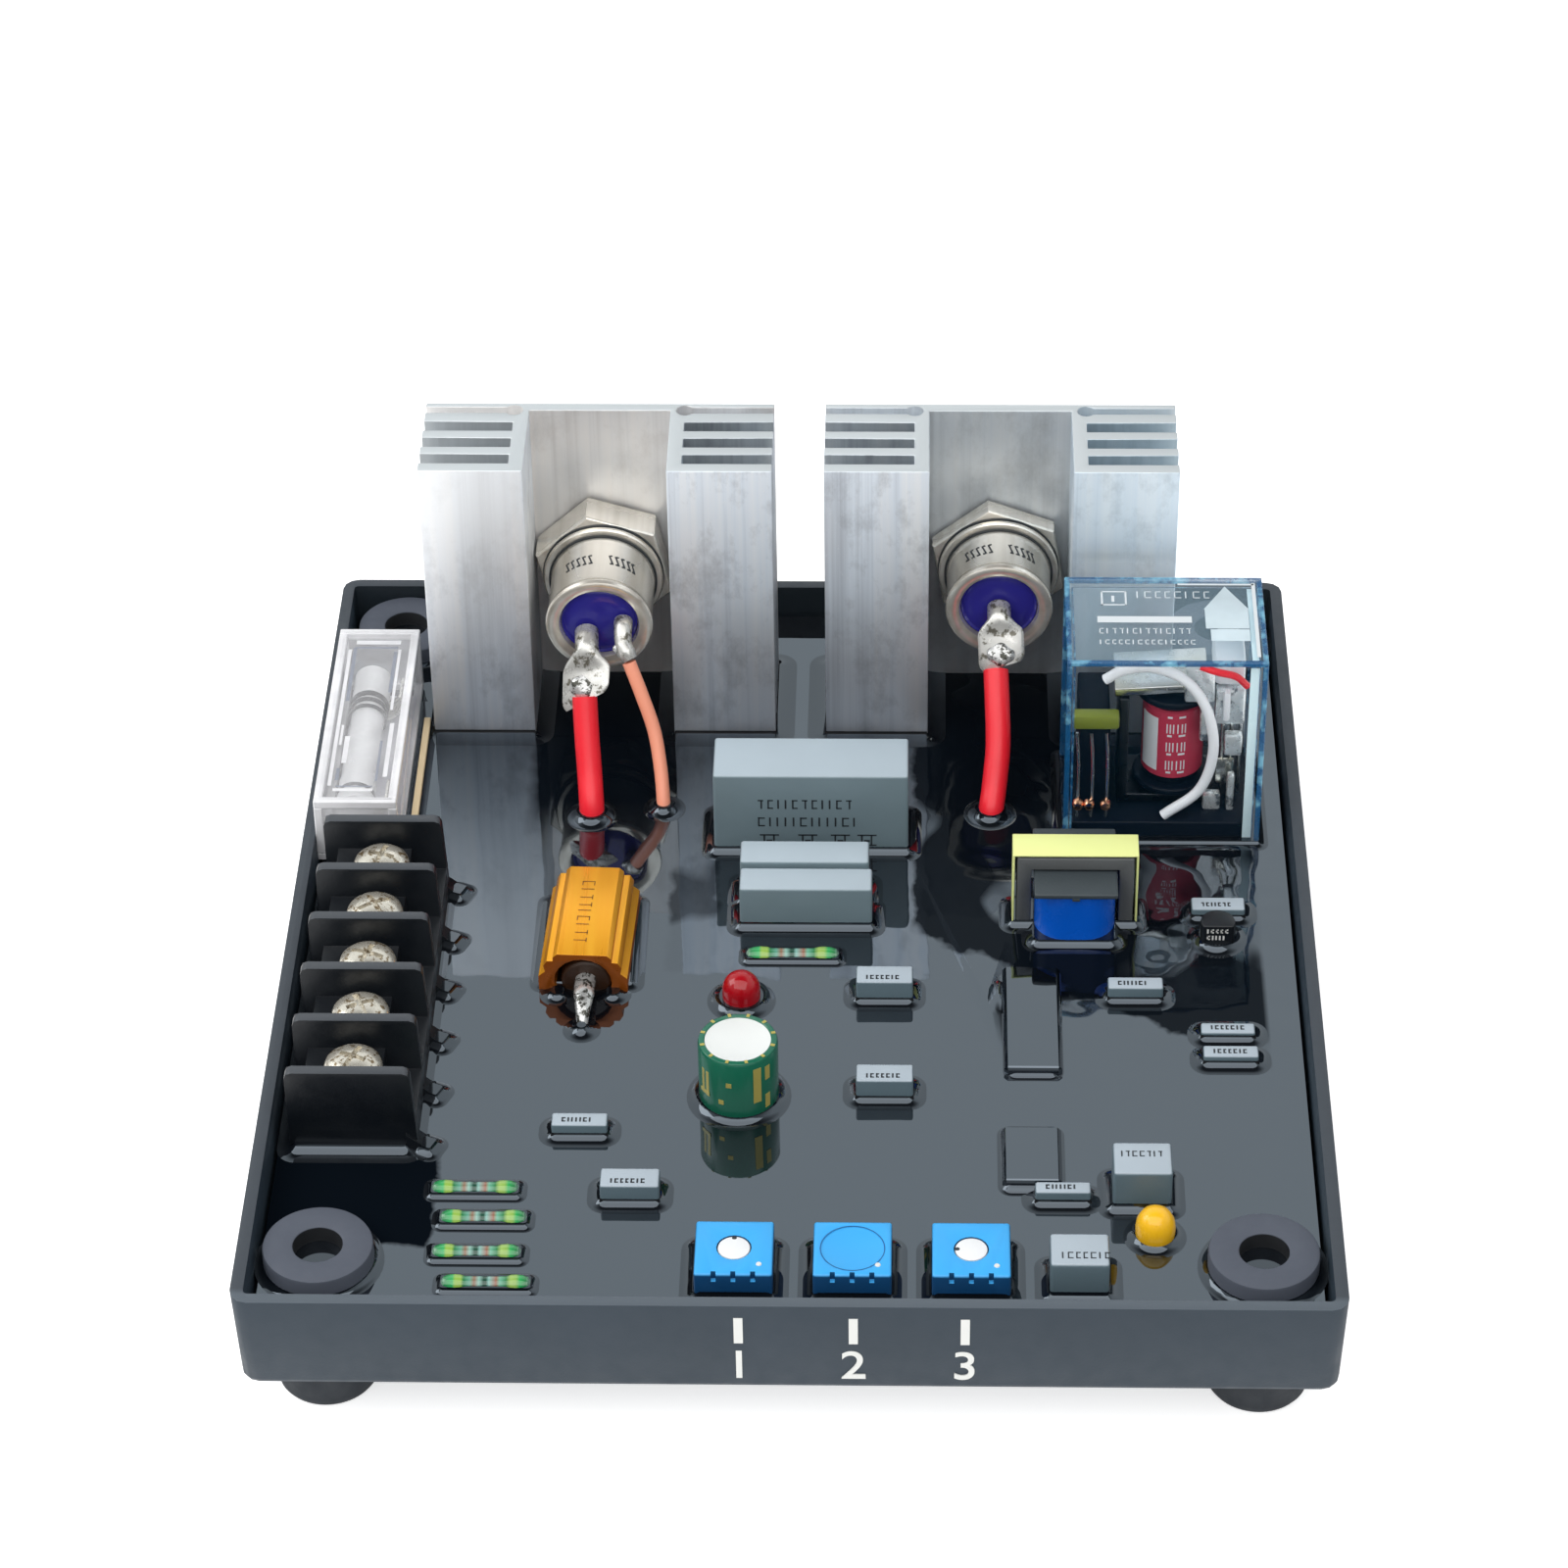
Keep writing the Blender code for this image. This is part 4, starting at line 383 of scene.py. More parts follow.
def aluminiumFinish():
    finish = Finish("aluminium", (0.5, 0.51, 0.52), 0.5, 0.8)
    x, y, z = finish.xyz()
    streaks = finish.noise(560, 4, (1, 1, 0.012), 0.65)
    broad = finish.noise(75, 2, (1, 1, 0.1))
    marks = finish.noise(160, 5, (1, 1, 0.6), 0.7)
    pits = finish.noise(1900, 2, (1, 1, 0.5), 0.6)
    tone = finish.rise(streaks * 0.5 + broad * 0.5, 0.3, 0.7)
    body = finish.ramp(tone, (0.0, (0.4, 0.43, 0.48)), (0.5, (0.82, 0.88, 0.95)), (1.0, (1.0, 1.0, 1.0)))
    body = finish.mix(finish.rise(marks, 0.5, 0.76, 0.0, 0.6), body, (0.25, 0.26, 0.28))
    body = finish.mix(finish.rise(pits, 0.62, 0.74, 0.0, 0.35), body, (0.9, 0.92, 0.95))
    # painted shade: the sinks are painted darker towards the bottom
    body = finish.mix(finish.rise(z, 0.019, 0.053), finish.mix(0.46, body, (0.14, 0.15, 0.18)), body)
    # painted light and shade: the outermost pillar is painted palest, as a highlight, the slots are painted
    # dark, as shade, and the one behind the relay is painted bluish, as a reflection of the relay's blue
    # cover
    outer = finish.fall(x, -0.0385, -0.0375) * finish.rise(z, 0.03, 0.055)
    body = finish.tint(outer, body, 0.7, (0.98, 0.99, 1.0))
    slotShade = finish.rise(y, 0.045, 0.0454) * finish.fall(y, 0.0578, 0.0583)
    slotShade = slotShade * finish.fall(finish.facing("Y"), -0.9, -0.6)
    body = finish.mix(slotShade * 0.72, body, finish.mix(streaks, (0.1, 0.12, 0.13), (0.26, 0.3, 0.32)))
    body = finish.tint(finish.rise(x, 0.0355, 0.0365) * 0.6, body, 0.5, (0.5, 0.72, 0.84))
    # the left channel's wall looks warmer than the pillars, and the right one's darker
    wall = finish.rise(y, 0.0585, 0.0589)
    body = finish.tint(wall * finish.fall(x, 0.0, 0.001, 1.0, 0.3), body, 0.6, (0.74, 0.7, 0.66))
    body = finish.mix(wall * finish.rise(x, 0.0, 0.001) * 0.45, body, (0.4, 0.44, 0.46))
    top = finish.rise(finish.facing(), 0.6, 0.9)  # the sawn ends are paler and duller
    finish.colour(finish.mix(top, body, (0.59, 0.635, 0.655)))
    finish.put("Roughness", finish.rise(top * 0.3 + streaks * 0.35, 0.0, 0.6, 0.36, 0.62))
    finish.put("Metallic", finish.rise(top, 0.0, 1.0, 0.58, 0.15))
    finish.bump(streaks, 0.2, 0.00008)
    return finish


def resinFinish(name, bend, wave):
    finish = Finish(name, (0.003, 0.004, 0.006), 0.03, 0.0, IOR=bend, Specular_Tint=(0.76, 0.88, 1.0, 1.0))
    x, y, _ = finish.xyz()
    swirl = finish.rise(x, 0.005, 0.045) * finish.rise(y, -0.03, 0.015)
    waves = finish.noise(26, 1.5) + finish.noise(80, 2) * (swirl * 3.2 + 0.24) + finish.noise(120, 2) * 0.06
    finish.bump(waves, wave, 0.0012)
    return finish


def paintedDarkReflections(finish):
    # painted reflection: in four places a dark matt coat on the resin stands in for mirrored dark walls: by
    # the terminals' front corner, before the sinks' channels, at the rear right, and in the middle between
    # the sinks
    x, y, _ = finish.xyz()
    ragged = finish.noise(260, 3) * 0.003
    double = ragged * 2
    corner = finish.fall(x + ragged, -0.0435, -0.0428) * finish.rise(y + ragged, -0.059, -0.0582)
    corner = corner * finish.fall(y, -0.043, -0.0425)
    channel = abs(x + 0.0283).least(abs(x - 0.0265)) + ragged * 0.6
    before = finish.fall(channel, 0.0095, 0.0112, 0.88) * finish.rise(y + double, 0.024, 0.033)
    right = finish.rise(y + x * 0.6 + double, 0.013, 0.0142) * finish.rise(x + ragged, 0.016, 0.0168)
    right = right * finish.fall(x, 0.0605, 0.0612)
    middle = finish.fall(abs(x + 0.0145) + ragged, 0.0042, 0.005)
    middle = middle * finish.fall(abs(y - 0.008) + double, 0.017, 0.0185)
    islands = finish.fall(finish.noise(70, 2, (1, 0.7, 1)), 0.46, 0.52, 1.0, 0.12)  # some stay pale
    shade = corner.most(before).most((right * 0.92 + middle * 0.66) * islands)
    matt = finish.node("ShaderNodeBsdfDiffuse", None, {"Color": (0.003, 0.005, 0.008)})
    glossy = Wire(finish, finish.shader.outputs[0])
    blend = finish.node("ShaderNodeMixShader", None, {0: shade, 1: glossy, 2: matt})
    finish.fill(finish.tree.nodes["Material Output"].inputs["Surface"], blend)
    return finish


def metalFinish(name, base, roughness, warm=0.1, scratch=0.12, metallic=1.0, worn=0.35):
    finish = Finish(name, base, roughness, metallic)
    dark = (base[0] * (1 - warm), base[1] * (1 - warm * 1.3), base[2] * (1 - warm * 2.2))
    finish.colour(finish.mix(finish.rise(finish.noise(240, 4), 0.35, 0.7), base, dark))
    low, high = roughness * (1 - worn), roughness * (1 + worn)
    finish.put("Roughness", finish.rise(finish.noise(900, 3), 0.3, 0.7, low, high))
    if scratch:
        finish.bump(finish.noise(1500, 3), scratch, 0.00006)
    return finish


def nickelFinish():
    # the cans and hexagons: bright, with painted dark bands of shade where the cans' sides turn away
    finish = metalFinish("nickel", (0.92, 0.87, 0.77), 0.22, 0.03, 0.0, 0.72, 0.04)
    turned = abs(finish.facing("X"))
    _, y, _ = finish.xyz()
    bands = finish.rise(turned, 0.42, 0.6) * finish.fall(turned, 0.72, 0.86) * finish.fall(y, 0.053, 0.0534)
    lines = finish.rise(finish.noise(620, 3, (1, 0.03, 1)), 0.45, 0.7, 0.0, 0.45)
    body = finish.mix(lines, (0.88, 0.83, 0.74), (0.58, 0.52, 0.42))
    finish.colour(finish.mix(bands * 0.5, body, (0.36, 0.31, 0.24)))
    return finish


def patchedFinish(name, base, patch, size, low, roughness=0.3):
    # bright plating or solder with small dark patches
    finish = metalFinish(name, base, roughness, 0.05, 0.15, 0.65)
    spots = finish.rise(finish.noise(size, 4, (1, 1, 1), 0.7), low, low + 0.06)
    finish.colour(finish.mix(spots, base, patch))
    return finish


def clearFinish(name, base, alpha, roughness=0.05):
    finish = Finish(name, base, roughness, 0.0, Alpha=alpha, IOR=1.5)
    smear = finish.noise(130, 3)
    finish.put("Roughness", finish.rise(smear, 0.3, 0.7, roughness, roughness + 0.05))
    finish.put("Alpha", finish.rise(smear, 0.35, 0.75, alpha * 0.9, min(1.0, alpha * 1.25)))
    return finish


def litTopFinish(name, side, top, roughness):
    # painted light: the tops are painted paler than the sides, as if lit from above
    finish = plainFinish(name, side, roughness, 0.0, 0.25, 0.08)
    cloud = finish.noise(120, 3)
    sides = finish.mix(cloud, tuple(c * 0.9 for c in side), tuple(c * 1.1 for c in side))
    tops = finish.mix(cloud, tuple(c * 0.95 for c in top), tuple(c * 1.05 for c in top))
    finish.colour(finish.mix(finish.rise(finish.facing(), 0.45, 0.9), sides, tops))
    return finish


def barrierFinish():
    # only the barriers' top edges catch the light
    dark = (0.005, 0.007, 0.01)
    finish = litTopFinish("blackMoulding", dark, (0.05, 0.058, 0.068), 0.38)
    _, _, z = finish.xyz()
    lid = finish.rise(finish.facing(), 0.45, 0.9) * finish.rise(z, 0.03, 0.0306)
    finish.colour(finish.mix(lid, dark, (0.055, 0.062, 0.072)))
    return finish


def relayCoverFinish():
    # the walls are nearly unseen, and the lid is a pale blue
    finish = clearFinish("relayClear", (0.45, 0.66, 0.8), 0.05)
    lid = finish.rise(abs(finish.facing()), 0.5, 0.9)
    finish.colour(finish.mix(lid, (0.05, 0.24, 0.42), (0.45, 0.66, 0.8)))
    finish.put("Alpha", finish.rise(lid + finish.noise(130, 3) * 0.1, 0.0, 1.1, 0.003, 0.16))
    return finish


def fuseCoverFinish():
    finish = clearFinish("fuseClear", (0.97, 0.97, 0.99), 0.3)
    lid = finish.rise(abs(finish.facing()), 0.5, 0.9)
    finish.put("Alpha", finish.rise(finish.noise(170, 3) * 0.5 - lid * 0.3, -0.1, 0.4, 0.14, 0.5))
    return finish


def relayEdgeFinish():
    # dark blue edges with pale lights in them
    finish = clearFinish("relayEdge", (0.02, 0.16, 0.36), 0.62)
    lights = finish.rise(finish.noise(330, 3, (1, 1, 1), 0.6), 0.5, 0.66)
    finish.colour(finish.mix(lights, (0.012, 0.12, 0.3), (0.25, 0.62, 0.82)))
    return finish


def goldFinish():
    finish = Finish("goldAnodised", (0.95, 0.46, 0.03), 0.3, 0.45)
    drawn = finish.noise(700, 3, (1, 0.03, 1))
    body = finish.mix(drawn, (0.92, 0.34, 0.01), (1.0, 0.52, 0.03))
    # painted shade: the sides and the front end are painted darker than the top
    body = finish.mix(finish.rise(finish.facing(), 0.1, 0.8), (0.42, 0.1, 0.006), body)
    finish.colour(finish.mix(finish.fall(finish.facing("Y"), -0.9, -0.4), body, (0.36, 0.085, 0.006)))
    finish.put("Roughness", finish.rise(drawn, 0.3, 0.7, 0.24, 0.4))
    finish.bump(drawn, 0.12, 0.00006)
    return finish


def rubberFinish():
    # painted shade: the bores of the four grommets are painted darker than their faces, and so are the feet
    # under the tray
    finish = plainFinish("rubber", (0.078, 0.09, 0.118), 0.66, 0.0, 0.3, 0.12)
    x, y, z = finish.xyz()
    face = finish.mix(finish.noise(90, 3), (0.07, 0.08, 0.106), (0.088, 0.102, 0.132))
    across = abs(x) - 0.0579
    along = abs(y + 0.063).least(abs(y - 0.0662))
    away = (across * across + along * along) ** 0.5
    face = finish.mix(finish.rise(z, 0.0095, 0.01), (0.02, 0.026, 0.034), face)
    finish.colour(finish.mix(away < 0.00308, face, (0.006, 0.007, 0.009)))
    return finish


def fuseBaseFinish():
    # ivory at its open side, paler under the cover
    ivory = (0.86, 0.68, 0.42)
    finish = plainFinish("fuseBase", ivory, 0.45, 0.0, 0.1, 0.06)
    x, _, _ = finish.xyz()
    finish.colour(finish.mix(x > -0.0551, (0.66, 0.66, 0.72), ivory))
    return finish


def trimmerFinish():
    finish = plainFinish("trimmerBlue", (0.045, 0.4, 0.88), 0.38, 0.0, 0.15, 0.05)
    # painted shade: the sides are painted far darker than the top
    finish.colour(finish.mix(finish.rise(finish.facing(), 0.2, 0.8), (0.006, 0.06, 0.17), (0.045, 0.42, 0.9)))
    return finish


def trayFinish():
    # painted light and shade: the rim's top is painted paler than the walls, most of all at the front, and
    # the rear walls darker
    finish = plainFinish("trayPlastic", (0.03, 0.045, 0.062), 0.46, 0.0, 0.25, 0.1, Specular_IOR_Level=0.35)
    _, y, _ = finish.xyz()
    litRimTop = finish.mix(finish.fall(y, -0.0735, -0.0725), (0.052, 0.062, 0.075), (0.1, 0.122, 0.145))
    walls = finish.mix(finish.noise(90, 3), (0.027, 0.041, 0.056), (0.033, 0.049, 0.068))
    walls = finish.mix(finish.rise(y, 0.0695, 0.0705), walls, (0.011, 0.017, 0.023))
    finish.colour(finish.mix(finish.rise(finish.facing(), 0.3, 0.9), walls, litRimTop))
    return finish


def bandedFinish():
    # axial resistors: green lacquer with colour bands along X, from the piece's own attribute
    finish = Finish("greenResistor", (0.03, 0.3, 0.1), 0.16, 0.0, Coat_Weight=0.6)
    along = finish.node("ShaderNodeAttribute", {"attribute_name": "along"}, None, "Fac")
    finish.colour(finish.ramp(
        along, (0.0, (0.3, 0.42, 0.36)), (0.05, (0.02, 0.22, 0.07)), (0.14, (0.04, 0.42, 0.12)),
        (0.17, (0.3, 0.5, 0.08)), (0.23, (0.3, 0.5, 0.08)), (0.26, (0.02, 0.2, 0.06)),
        (0.33, (0.12, 0.36, 0.26)), (0.38, (0.28, 0.14, 0.08)), (0.43, (0.25, 0.48, 0.4)),
        (0.48, (0.01, 0.07, 0.04)), (0.51, (0.01, 0.07, 0.04)), (0.54, (0.22, 0.46, 0.4)),
        (0.62, (0.3, 0.12, 0.07)), (0.66, (0.14, 0.42, 0.28)), (0.73, (0.02, 0.2, 0.06)),
        (0.78, (0.32, 0.5, 0.1)), (0.84, (0.28, 0.48, 0.1)), (0.88, (0.03, 0.4, 0.1)),
        (0.95, (0.02, 0.2, 0.06)), (1.0, (0.26, 0.4, 0.34))))
    finish.bump(finish.noise(1200, 2), 0.12, 0.0001)
    return finish


trayPlastic = trayFinish()
resin = paintedDarkReflections(resinFinish("blackResin", 2.3, 0.17))
resinRim = resinFinish("blackResinRim", 1.9, 0.05)
resinShade = plainFinish("resinShade", (0.004, 0.005, 0.007), 0.5, 0.0, 0.0, 0.1)
rubber = rubberFinish()
aluminium = aluminiumFinish()
nickel = nickelFinish()
zinc = metalFinish("zinc", (0.6, 0.61, 0.62), 0.32)
tin = patchedFinish("tin", (0.8, 0.78, 0.72), (0.3, 0.28, 0.22), 420, 0.6)
lugTin = patchedFinish("lugTin", (0.6, 0.59, 0.56), (0.16, 0.15, 0.12), 650, 0.55)
solder = patchedFinish("solder", (0.58, 0.58, 0.57), (0.06, 0.06, 0.05), 1100, 0.5, 0.25)
screwTin = patchedFinish("screwTin", (0.72, 0.68, 0.59), (0.22, 0.16, 0.09), 900, 0.53, 0.28)
violetGlass = plainFinish("violetGlass", (0.03, 0.026, 0.26), 0.12, 0.0, 0.0, 0.25)
redSleeve = plainFinish("redSleeve", (0.93, 0.018, 0.034), 0.34, 0.0, 0.2, 0.1)
orangeSleeve = plainFinish("orangeSleeve", (0.98, 0.36, 0.23), 0.36, 0.0, 0.2, 0.1)
relayClear = relayCoverFinish()
relayEdge = relayEdgeFinish()
fuseClear = fuseCoverFinish()
glint = clearFinish("glint", (0.98, 0.98, 1.0), 0.75)
glintGrey = clearFinish("glintGrey", (0.4, 0.43, 0.5), 0.55)
fuseEdge = clearFinish("fuseEdge", (0.97, 0.97, 0.99), 0.8)
blackMoulding = barrierFinish()
relayBlack = plainFinish("relayBlack", (0.003, 0.006, 0.012), 0.4, 0.0, 0.3, 0.2, Specular_IOR_Level=0.1)
relayHaze = clearFinish("relayHaze", (0.8, 0.94, 1.0), 0.6)
relayHighlight = plainFinish("relayHighlight", (0.68, 0.88, 0.96), 0.3, 0.0, 0.1, 0.08)
relayBlue = plainFinish("relayBlue", (0.02, 0.1, 0.28), 0.4, 0.0, 0.1, 0.15)
steel = metalFinish("steel", (0.7, 0.72, 0.72), 0.22, 0.1, 0.02)
canTop = plainFinish("canTop", (0.88, 0.9, 0.88), 0.35, 0.25, 0.1, 0.03)
darkSteel = metalFinish("darkSteel", (0.045, 0.05, 0.058), 0.35, 0.1, 0.02)
copper = metalFinish("copper", (0.9, 0.48, 0.3), 0.25)
coilRed = plainFinish("coilRed", (0.5, 0.035, 0.075), 0.45, 0.0, 0.1, 0.1)
whiteSleeve = plainFinish("whiteSleeve", (0.84, 0.88, 0.92), 0.45, 0.0, 0.2, 0.05)
paleParts = patchedFinish("paleParts", (0.8, 0.86, 0.88), (0.16, 0.2, 0.23), 300, 0.58, 0.3)
bobbinYellow = plainFinish("bobbinYellow", (0.16, 0.2, 0.02), 0.4, 0.0, 0.1, 0.1)
whiteCeramic = plainFinish("whiteCeramic", (0.78, 0.79, 0.8), 0.25, 0.0, 0.1, 0.05)
# the core's own brown, darkened with painted shade inside the housing's arch
coreBrownAndShade = plainFinish("coreBrownAndShade", (0.035, 0.014, 0.006), 0.4, 0.0, 0.3, 0.2)
gold = goldFinish()
capacitorGrey = litTopFinish("capacitorGrey", (0.17, 0.235, 0.265), (0.42, 0.5, 0.555), 0.42)
filmGrey = litTopFinish("filmGrey", (0.12, 0.175, 0.205), (0.42, 0.49, 0.55), 0.34)
label = plainFinish("label", (0.72, 0.77, 0.8), 0.45, 0.0, 0.1, 0.05)
# dark print, and also the painted shade in the cans' grooves and the trimmers' notches
darkPrintAndShade = plainFinish("darkPrintAndShade", (0.02, 0.025, 0.03), 0.5, 0.0, 0.0, 0.05)
printWhite = plainFinish("printWhite", (0.78, 0.79, 0.76), 0.5, 0.0, 0.0, 0.04)
trimmerBlue = trimmerFinish()
trimmerDark = plainFinish("trimmerDark", (0.01, 0.12, 0.34), 0.4, 0.0, 0.0, 0.05)
rotorWhite = plainFinish("rotorWhite", (0.86, 0.88, 0.9), 0.4, 0.0, 0.1, 0.03)
redLens = plainFinish("redLens", (0.38, 0.004, 0.01), 0.1, 0.0, 0.0, 0.2)
greenSleeve = plainFinish("greenSleeve", (0.01, 0.14, 0.08), 0.2, 0.0, 0.0, 0.15)
goldPrint = plainFinish("goldPrint", (0.5, 0.42, 0.1), 0.35, 0.2, 0.0, 0.1)
beadYellow = plainFinish("beadYellow", (0.98, 0.52, 0.015), 0.16, 0.0, 0.15, 0.08)
ferrite = plainFinish("ferrite", (0.105, 0.112, 0.114), 0.5, 0.0, 0.5, 0.3)
yellowTape = plainFinish("yellowTape", (0.86, 0.92, 0.36), 0.35, 0.0, 0.15, 0.04)
bobbinGrey = plainFinish("bobbinGrey", (0.045, 0.058, 0.066), 0.5, 0.0, 0.4, 0.15)
blueWinding = plainFinish("blueWinding", (0.001, 0.115, 0.66), 0.26, 0.0, 0.5, 0.25)
laminate = plainFinish("laminate", (0.02, 0.08, 0.03), 0.5, 0.0, 0.2, 0.1)
greenResistor = bandedFinish()
print("finishes made")


# Levels in mm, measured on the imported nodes
resinLevel = 19.0
seatLevel = 15.5
rim = 23.5


# Tray, with its three plain numbers and their ticks
trayLook = {"rimRound": 0.22, "rimDepth": 0.4, "lowest": 0.015, "front": -75.0, "slope": 0.5 / 14.2,
            "tickX": (-6.0, 7.9, 21.4), "tickTop": 21.5, "tickBottom": 17.3, "tickWide": 1.1,
            "digitLow": 11.3, "digitMiddle": 13.5, "digitSize": 6.6, "digitDeep": 0.1, "digitBold": 0.00004}


def makeTray():
    look = trayLook
    soften("tray", look["rimRound"], trayPlastic, name="trayShell",
           keep=lambda e: max(v.co.z for v in e.verts) > (rim - look["rimDepth"]) * mm
           and min(v.co.z for v in e.verts) > look["lowest"])
    middle, half = (look["tickTop"] + look["tickBottom"]) / 2, look["tickWide"] / 2
    wall = look["front"] + look["slope"] * (rim - middle)
    ticks = [((x - half, wall - 0.12, look["tickBottom"]), (x + half, wall + 0.2, look["tickTop"]))
             for x in look["tickX"]]
    blockPiece("frontTicks", ticks, printWhite)
    wall = look["front"] + look["slope"] * (rim - look["digitMiddle"])
    for digit, x in zip("123", look["tickX"]):
        curve = bpy.data.curves.new("mark", "FONT")
        curve.body = digit
        curve.align_x = "CENTER"
        curve.size = look["digitSize"] * mm
        curve.extrude = look["digitDeep"] * mm
        curve.offset = look["digitBold"]
        guide = bpy.data.objects.new("mark", curve)
        bpy.context.scene.collection.objects.link(guide)
        bm = bmesh.new()
        bm.from_mesh(evaluated(guide))
        bpy.data.objects.remove(guide)
        bmesh.ops.remove_doubles(bm, verts=bm.verts, dist=0.000001)
        place = Matrix.Translation((x * mm, (wall - 0.02) * mm, look["digitLow"] * mm))
        bmesh.ops.transform(bm, matrix=place @ Matrix.Rotation(math.pi / 2, 4, "X"), verts=bm.verts)
        finishPiece(bm, "frontNumber" + digit, printWhite)


# Grommets: rubber rings with feet
grommet = {"places": {"front_left": (-57.9, -63.0), "front_right": (57.9, -63.0),
                      "rear_left": (-57.9, 66.2), "rear_right": (57.9, 66.2)}, "ring": 6.85}
grommetProfile = [(3.0, 21.6), (3.12, 21.88), (3.4, 22.0), (6.4, 22.0), (6.72, 21.87), (6.85, 21.55),
                  (6.75, 11.2), (4.8, 11.2), (4.8, 9.0), (6.4, 9.0), (6.4, 1.3), (6.28, 0.75), (5.95, 0.25),
                  (5.3, 0.0), (3.3, 0.0), (3.0, 0.3), (3.0, 21.6)]


def makeGrommets():
    for name, (x, y) in grommet["places"].items():
        node = "grommet_" + name
        spunPiece(camel(node), grommetProfile, 72, (x, y, 0), rubber, (node,))


# Resin: the slab, and the collars where it climbs each part
skinProfile = [(0.2, 0.04), (0.14, 0.16), (0.12, 0.36), (0.12, 0.6), (0.12, 0.8), (0.14, 0.95), (0.16, 1.0)]
collarProfile = [(0.24, 0.04), (0.17, 0.12), (0.14, 0.23), (0.14, 0.37), (0.13, 0.54), (0.1, 0.72),
                 (0.05, 0.86), (0.03, 1.0)]


def climb(bm, face, wide, tall, profile):
    # the face is inset step by step, and lifted as it goes
    if face.normal.z < 0:
        bmesh.ops.reverse_faces(bm, faces=[face])
    before = 0.0
    for share, level in profile:
        bmesh.ops.inset_region(bm, faces=[face], thickness=share * wide * mm, depth=0, use_even_offset=True,
                               use_boundary=True)
        bmesh.ops.translate(bm, verts=list(face.verts), vec=(0, 0, (level - before) * tall * mm))
        before = level


def collar(bm, low, high, wide=1.7, tall=0.9, corner=1.0, turn=0.0, profile=collarProfile):
    size = Vector((high[0] - low[0] + 2 * wide, high[1] - low[1] + 2 * wide, 1)) * mm
    middle = Vector(((low[0] + high[0]) / 2, (low[1] + high[1]) / 2, resinLevel + 0.01)) * mm
    place = Matrix.Translation(middle) @ Matrix.Rotation(turn, 4, "Z")
    made = bmesh.ops.create_grid(bm, x_segments=1, y_segments=1, size=0.5,
                                 matrix=place @ Matrix.Diagonal((size.x, size.y, 1, 1)))
    corners = list(made["verts"][0].link_faces[0].verts)
    rounded = bmesh.ops.bevel(bm, geom=corners, offset=(wide + corner * 0.3) * mm, segments=6,
                              affect="VERTICES", profile=0.5, material=-1)
    face = max({f for v in rounded["verts"] for f in v.link_faces}, key=lambda f: f.calc_area())
    climb(bm, face, wide, tall, profile)


def roundCollar(bm, x, y, radius, wide, tall):
    matrix = Matrix.Translation(Vector((x, y, resinLevel + 0.01)) * mm)
    made = bmesh.ops.create_circle(bm, cap_ends=True, segments=40, radius=(radius + wide) * mm, matrix=matrix)
    climb(bm, made["verts"][0].link_faces[0], wide, tall, collarProfile)


def nodeFootprint(node, grow=0.0):
    low, high = boxOf(node)
    return (low.x - grow, low.y - grow), (high.x + grow, high.y + grow)


# Parts without nodes of their own: left, right, front, rear and height over the resin, or place and length
filmCapacitors = {
    "a": (7.5, 14.9, -13.4, -9.9, 3.5), "b": (7.7, 15.0, -32.7, -29.3, 3.4),
    "c": (-30.7, -23.6, -40.1, -37.6, 2.2), "d": (-23.9, -16.5, -52.3, -48.8, 3.0),
    "e": (40.3, 47.5, -13.0, -10.6, 2.4), "f": (51.9, 59.0, 4.0, 6.7, 1.8),
    "g": (52.1, 59.1, -20.5, -18.4, 1.3), "h": (52.2, 59.3, -25.5, -23.2, 1.6),
    "i": (30.2, 37.1, -51.9, -49.8, 2.1),
}
axialResistors = {"one": (-39.6, -50.0, 11.0), "two": (-38.2, -55.4, 10.9), "three": (-38.6, -61.6, 11.1),
                  "four": (-37.1, -67.0, 11.1), "five": (-1.0, -4.1, 12.3)}
chips = ((27.4, 33.4, -27.7, -6.9), (26.5, 33.2, -49.4, -38.2))
boxCapacitors = ("main_capacitor", "front_capacitor", "rear_capacitor", "output_capacitor",
                 "corner_capacitor")
sinks = ("heat_sink_left", "heat_sink_right")
# where a lead or a tag goes down into the resin, and its radius
leadFeet = ((-29.1, 25.7, 1.75), (-19.3, 27.4, 1.05), (25.4, 26.6, 1.75), (-28.05, -19.2, 0.6),
            (-27.85, 11.6, 1.0))
channel = 9.6  # half the width of the resin in a sink's channel
terminalPitch = 10.15


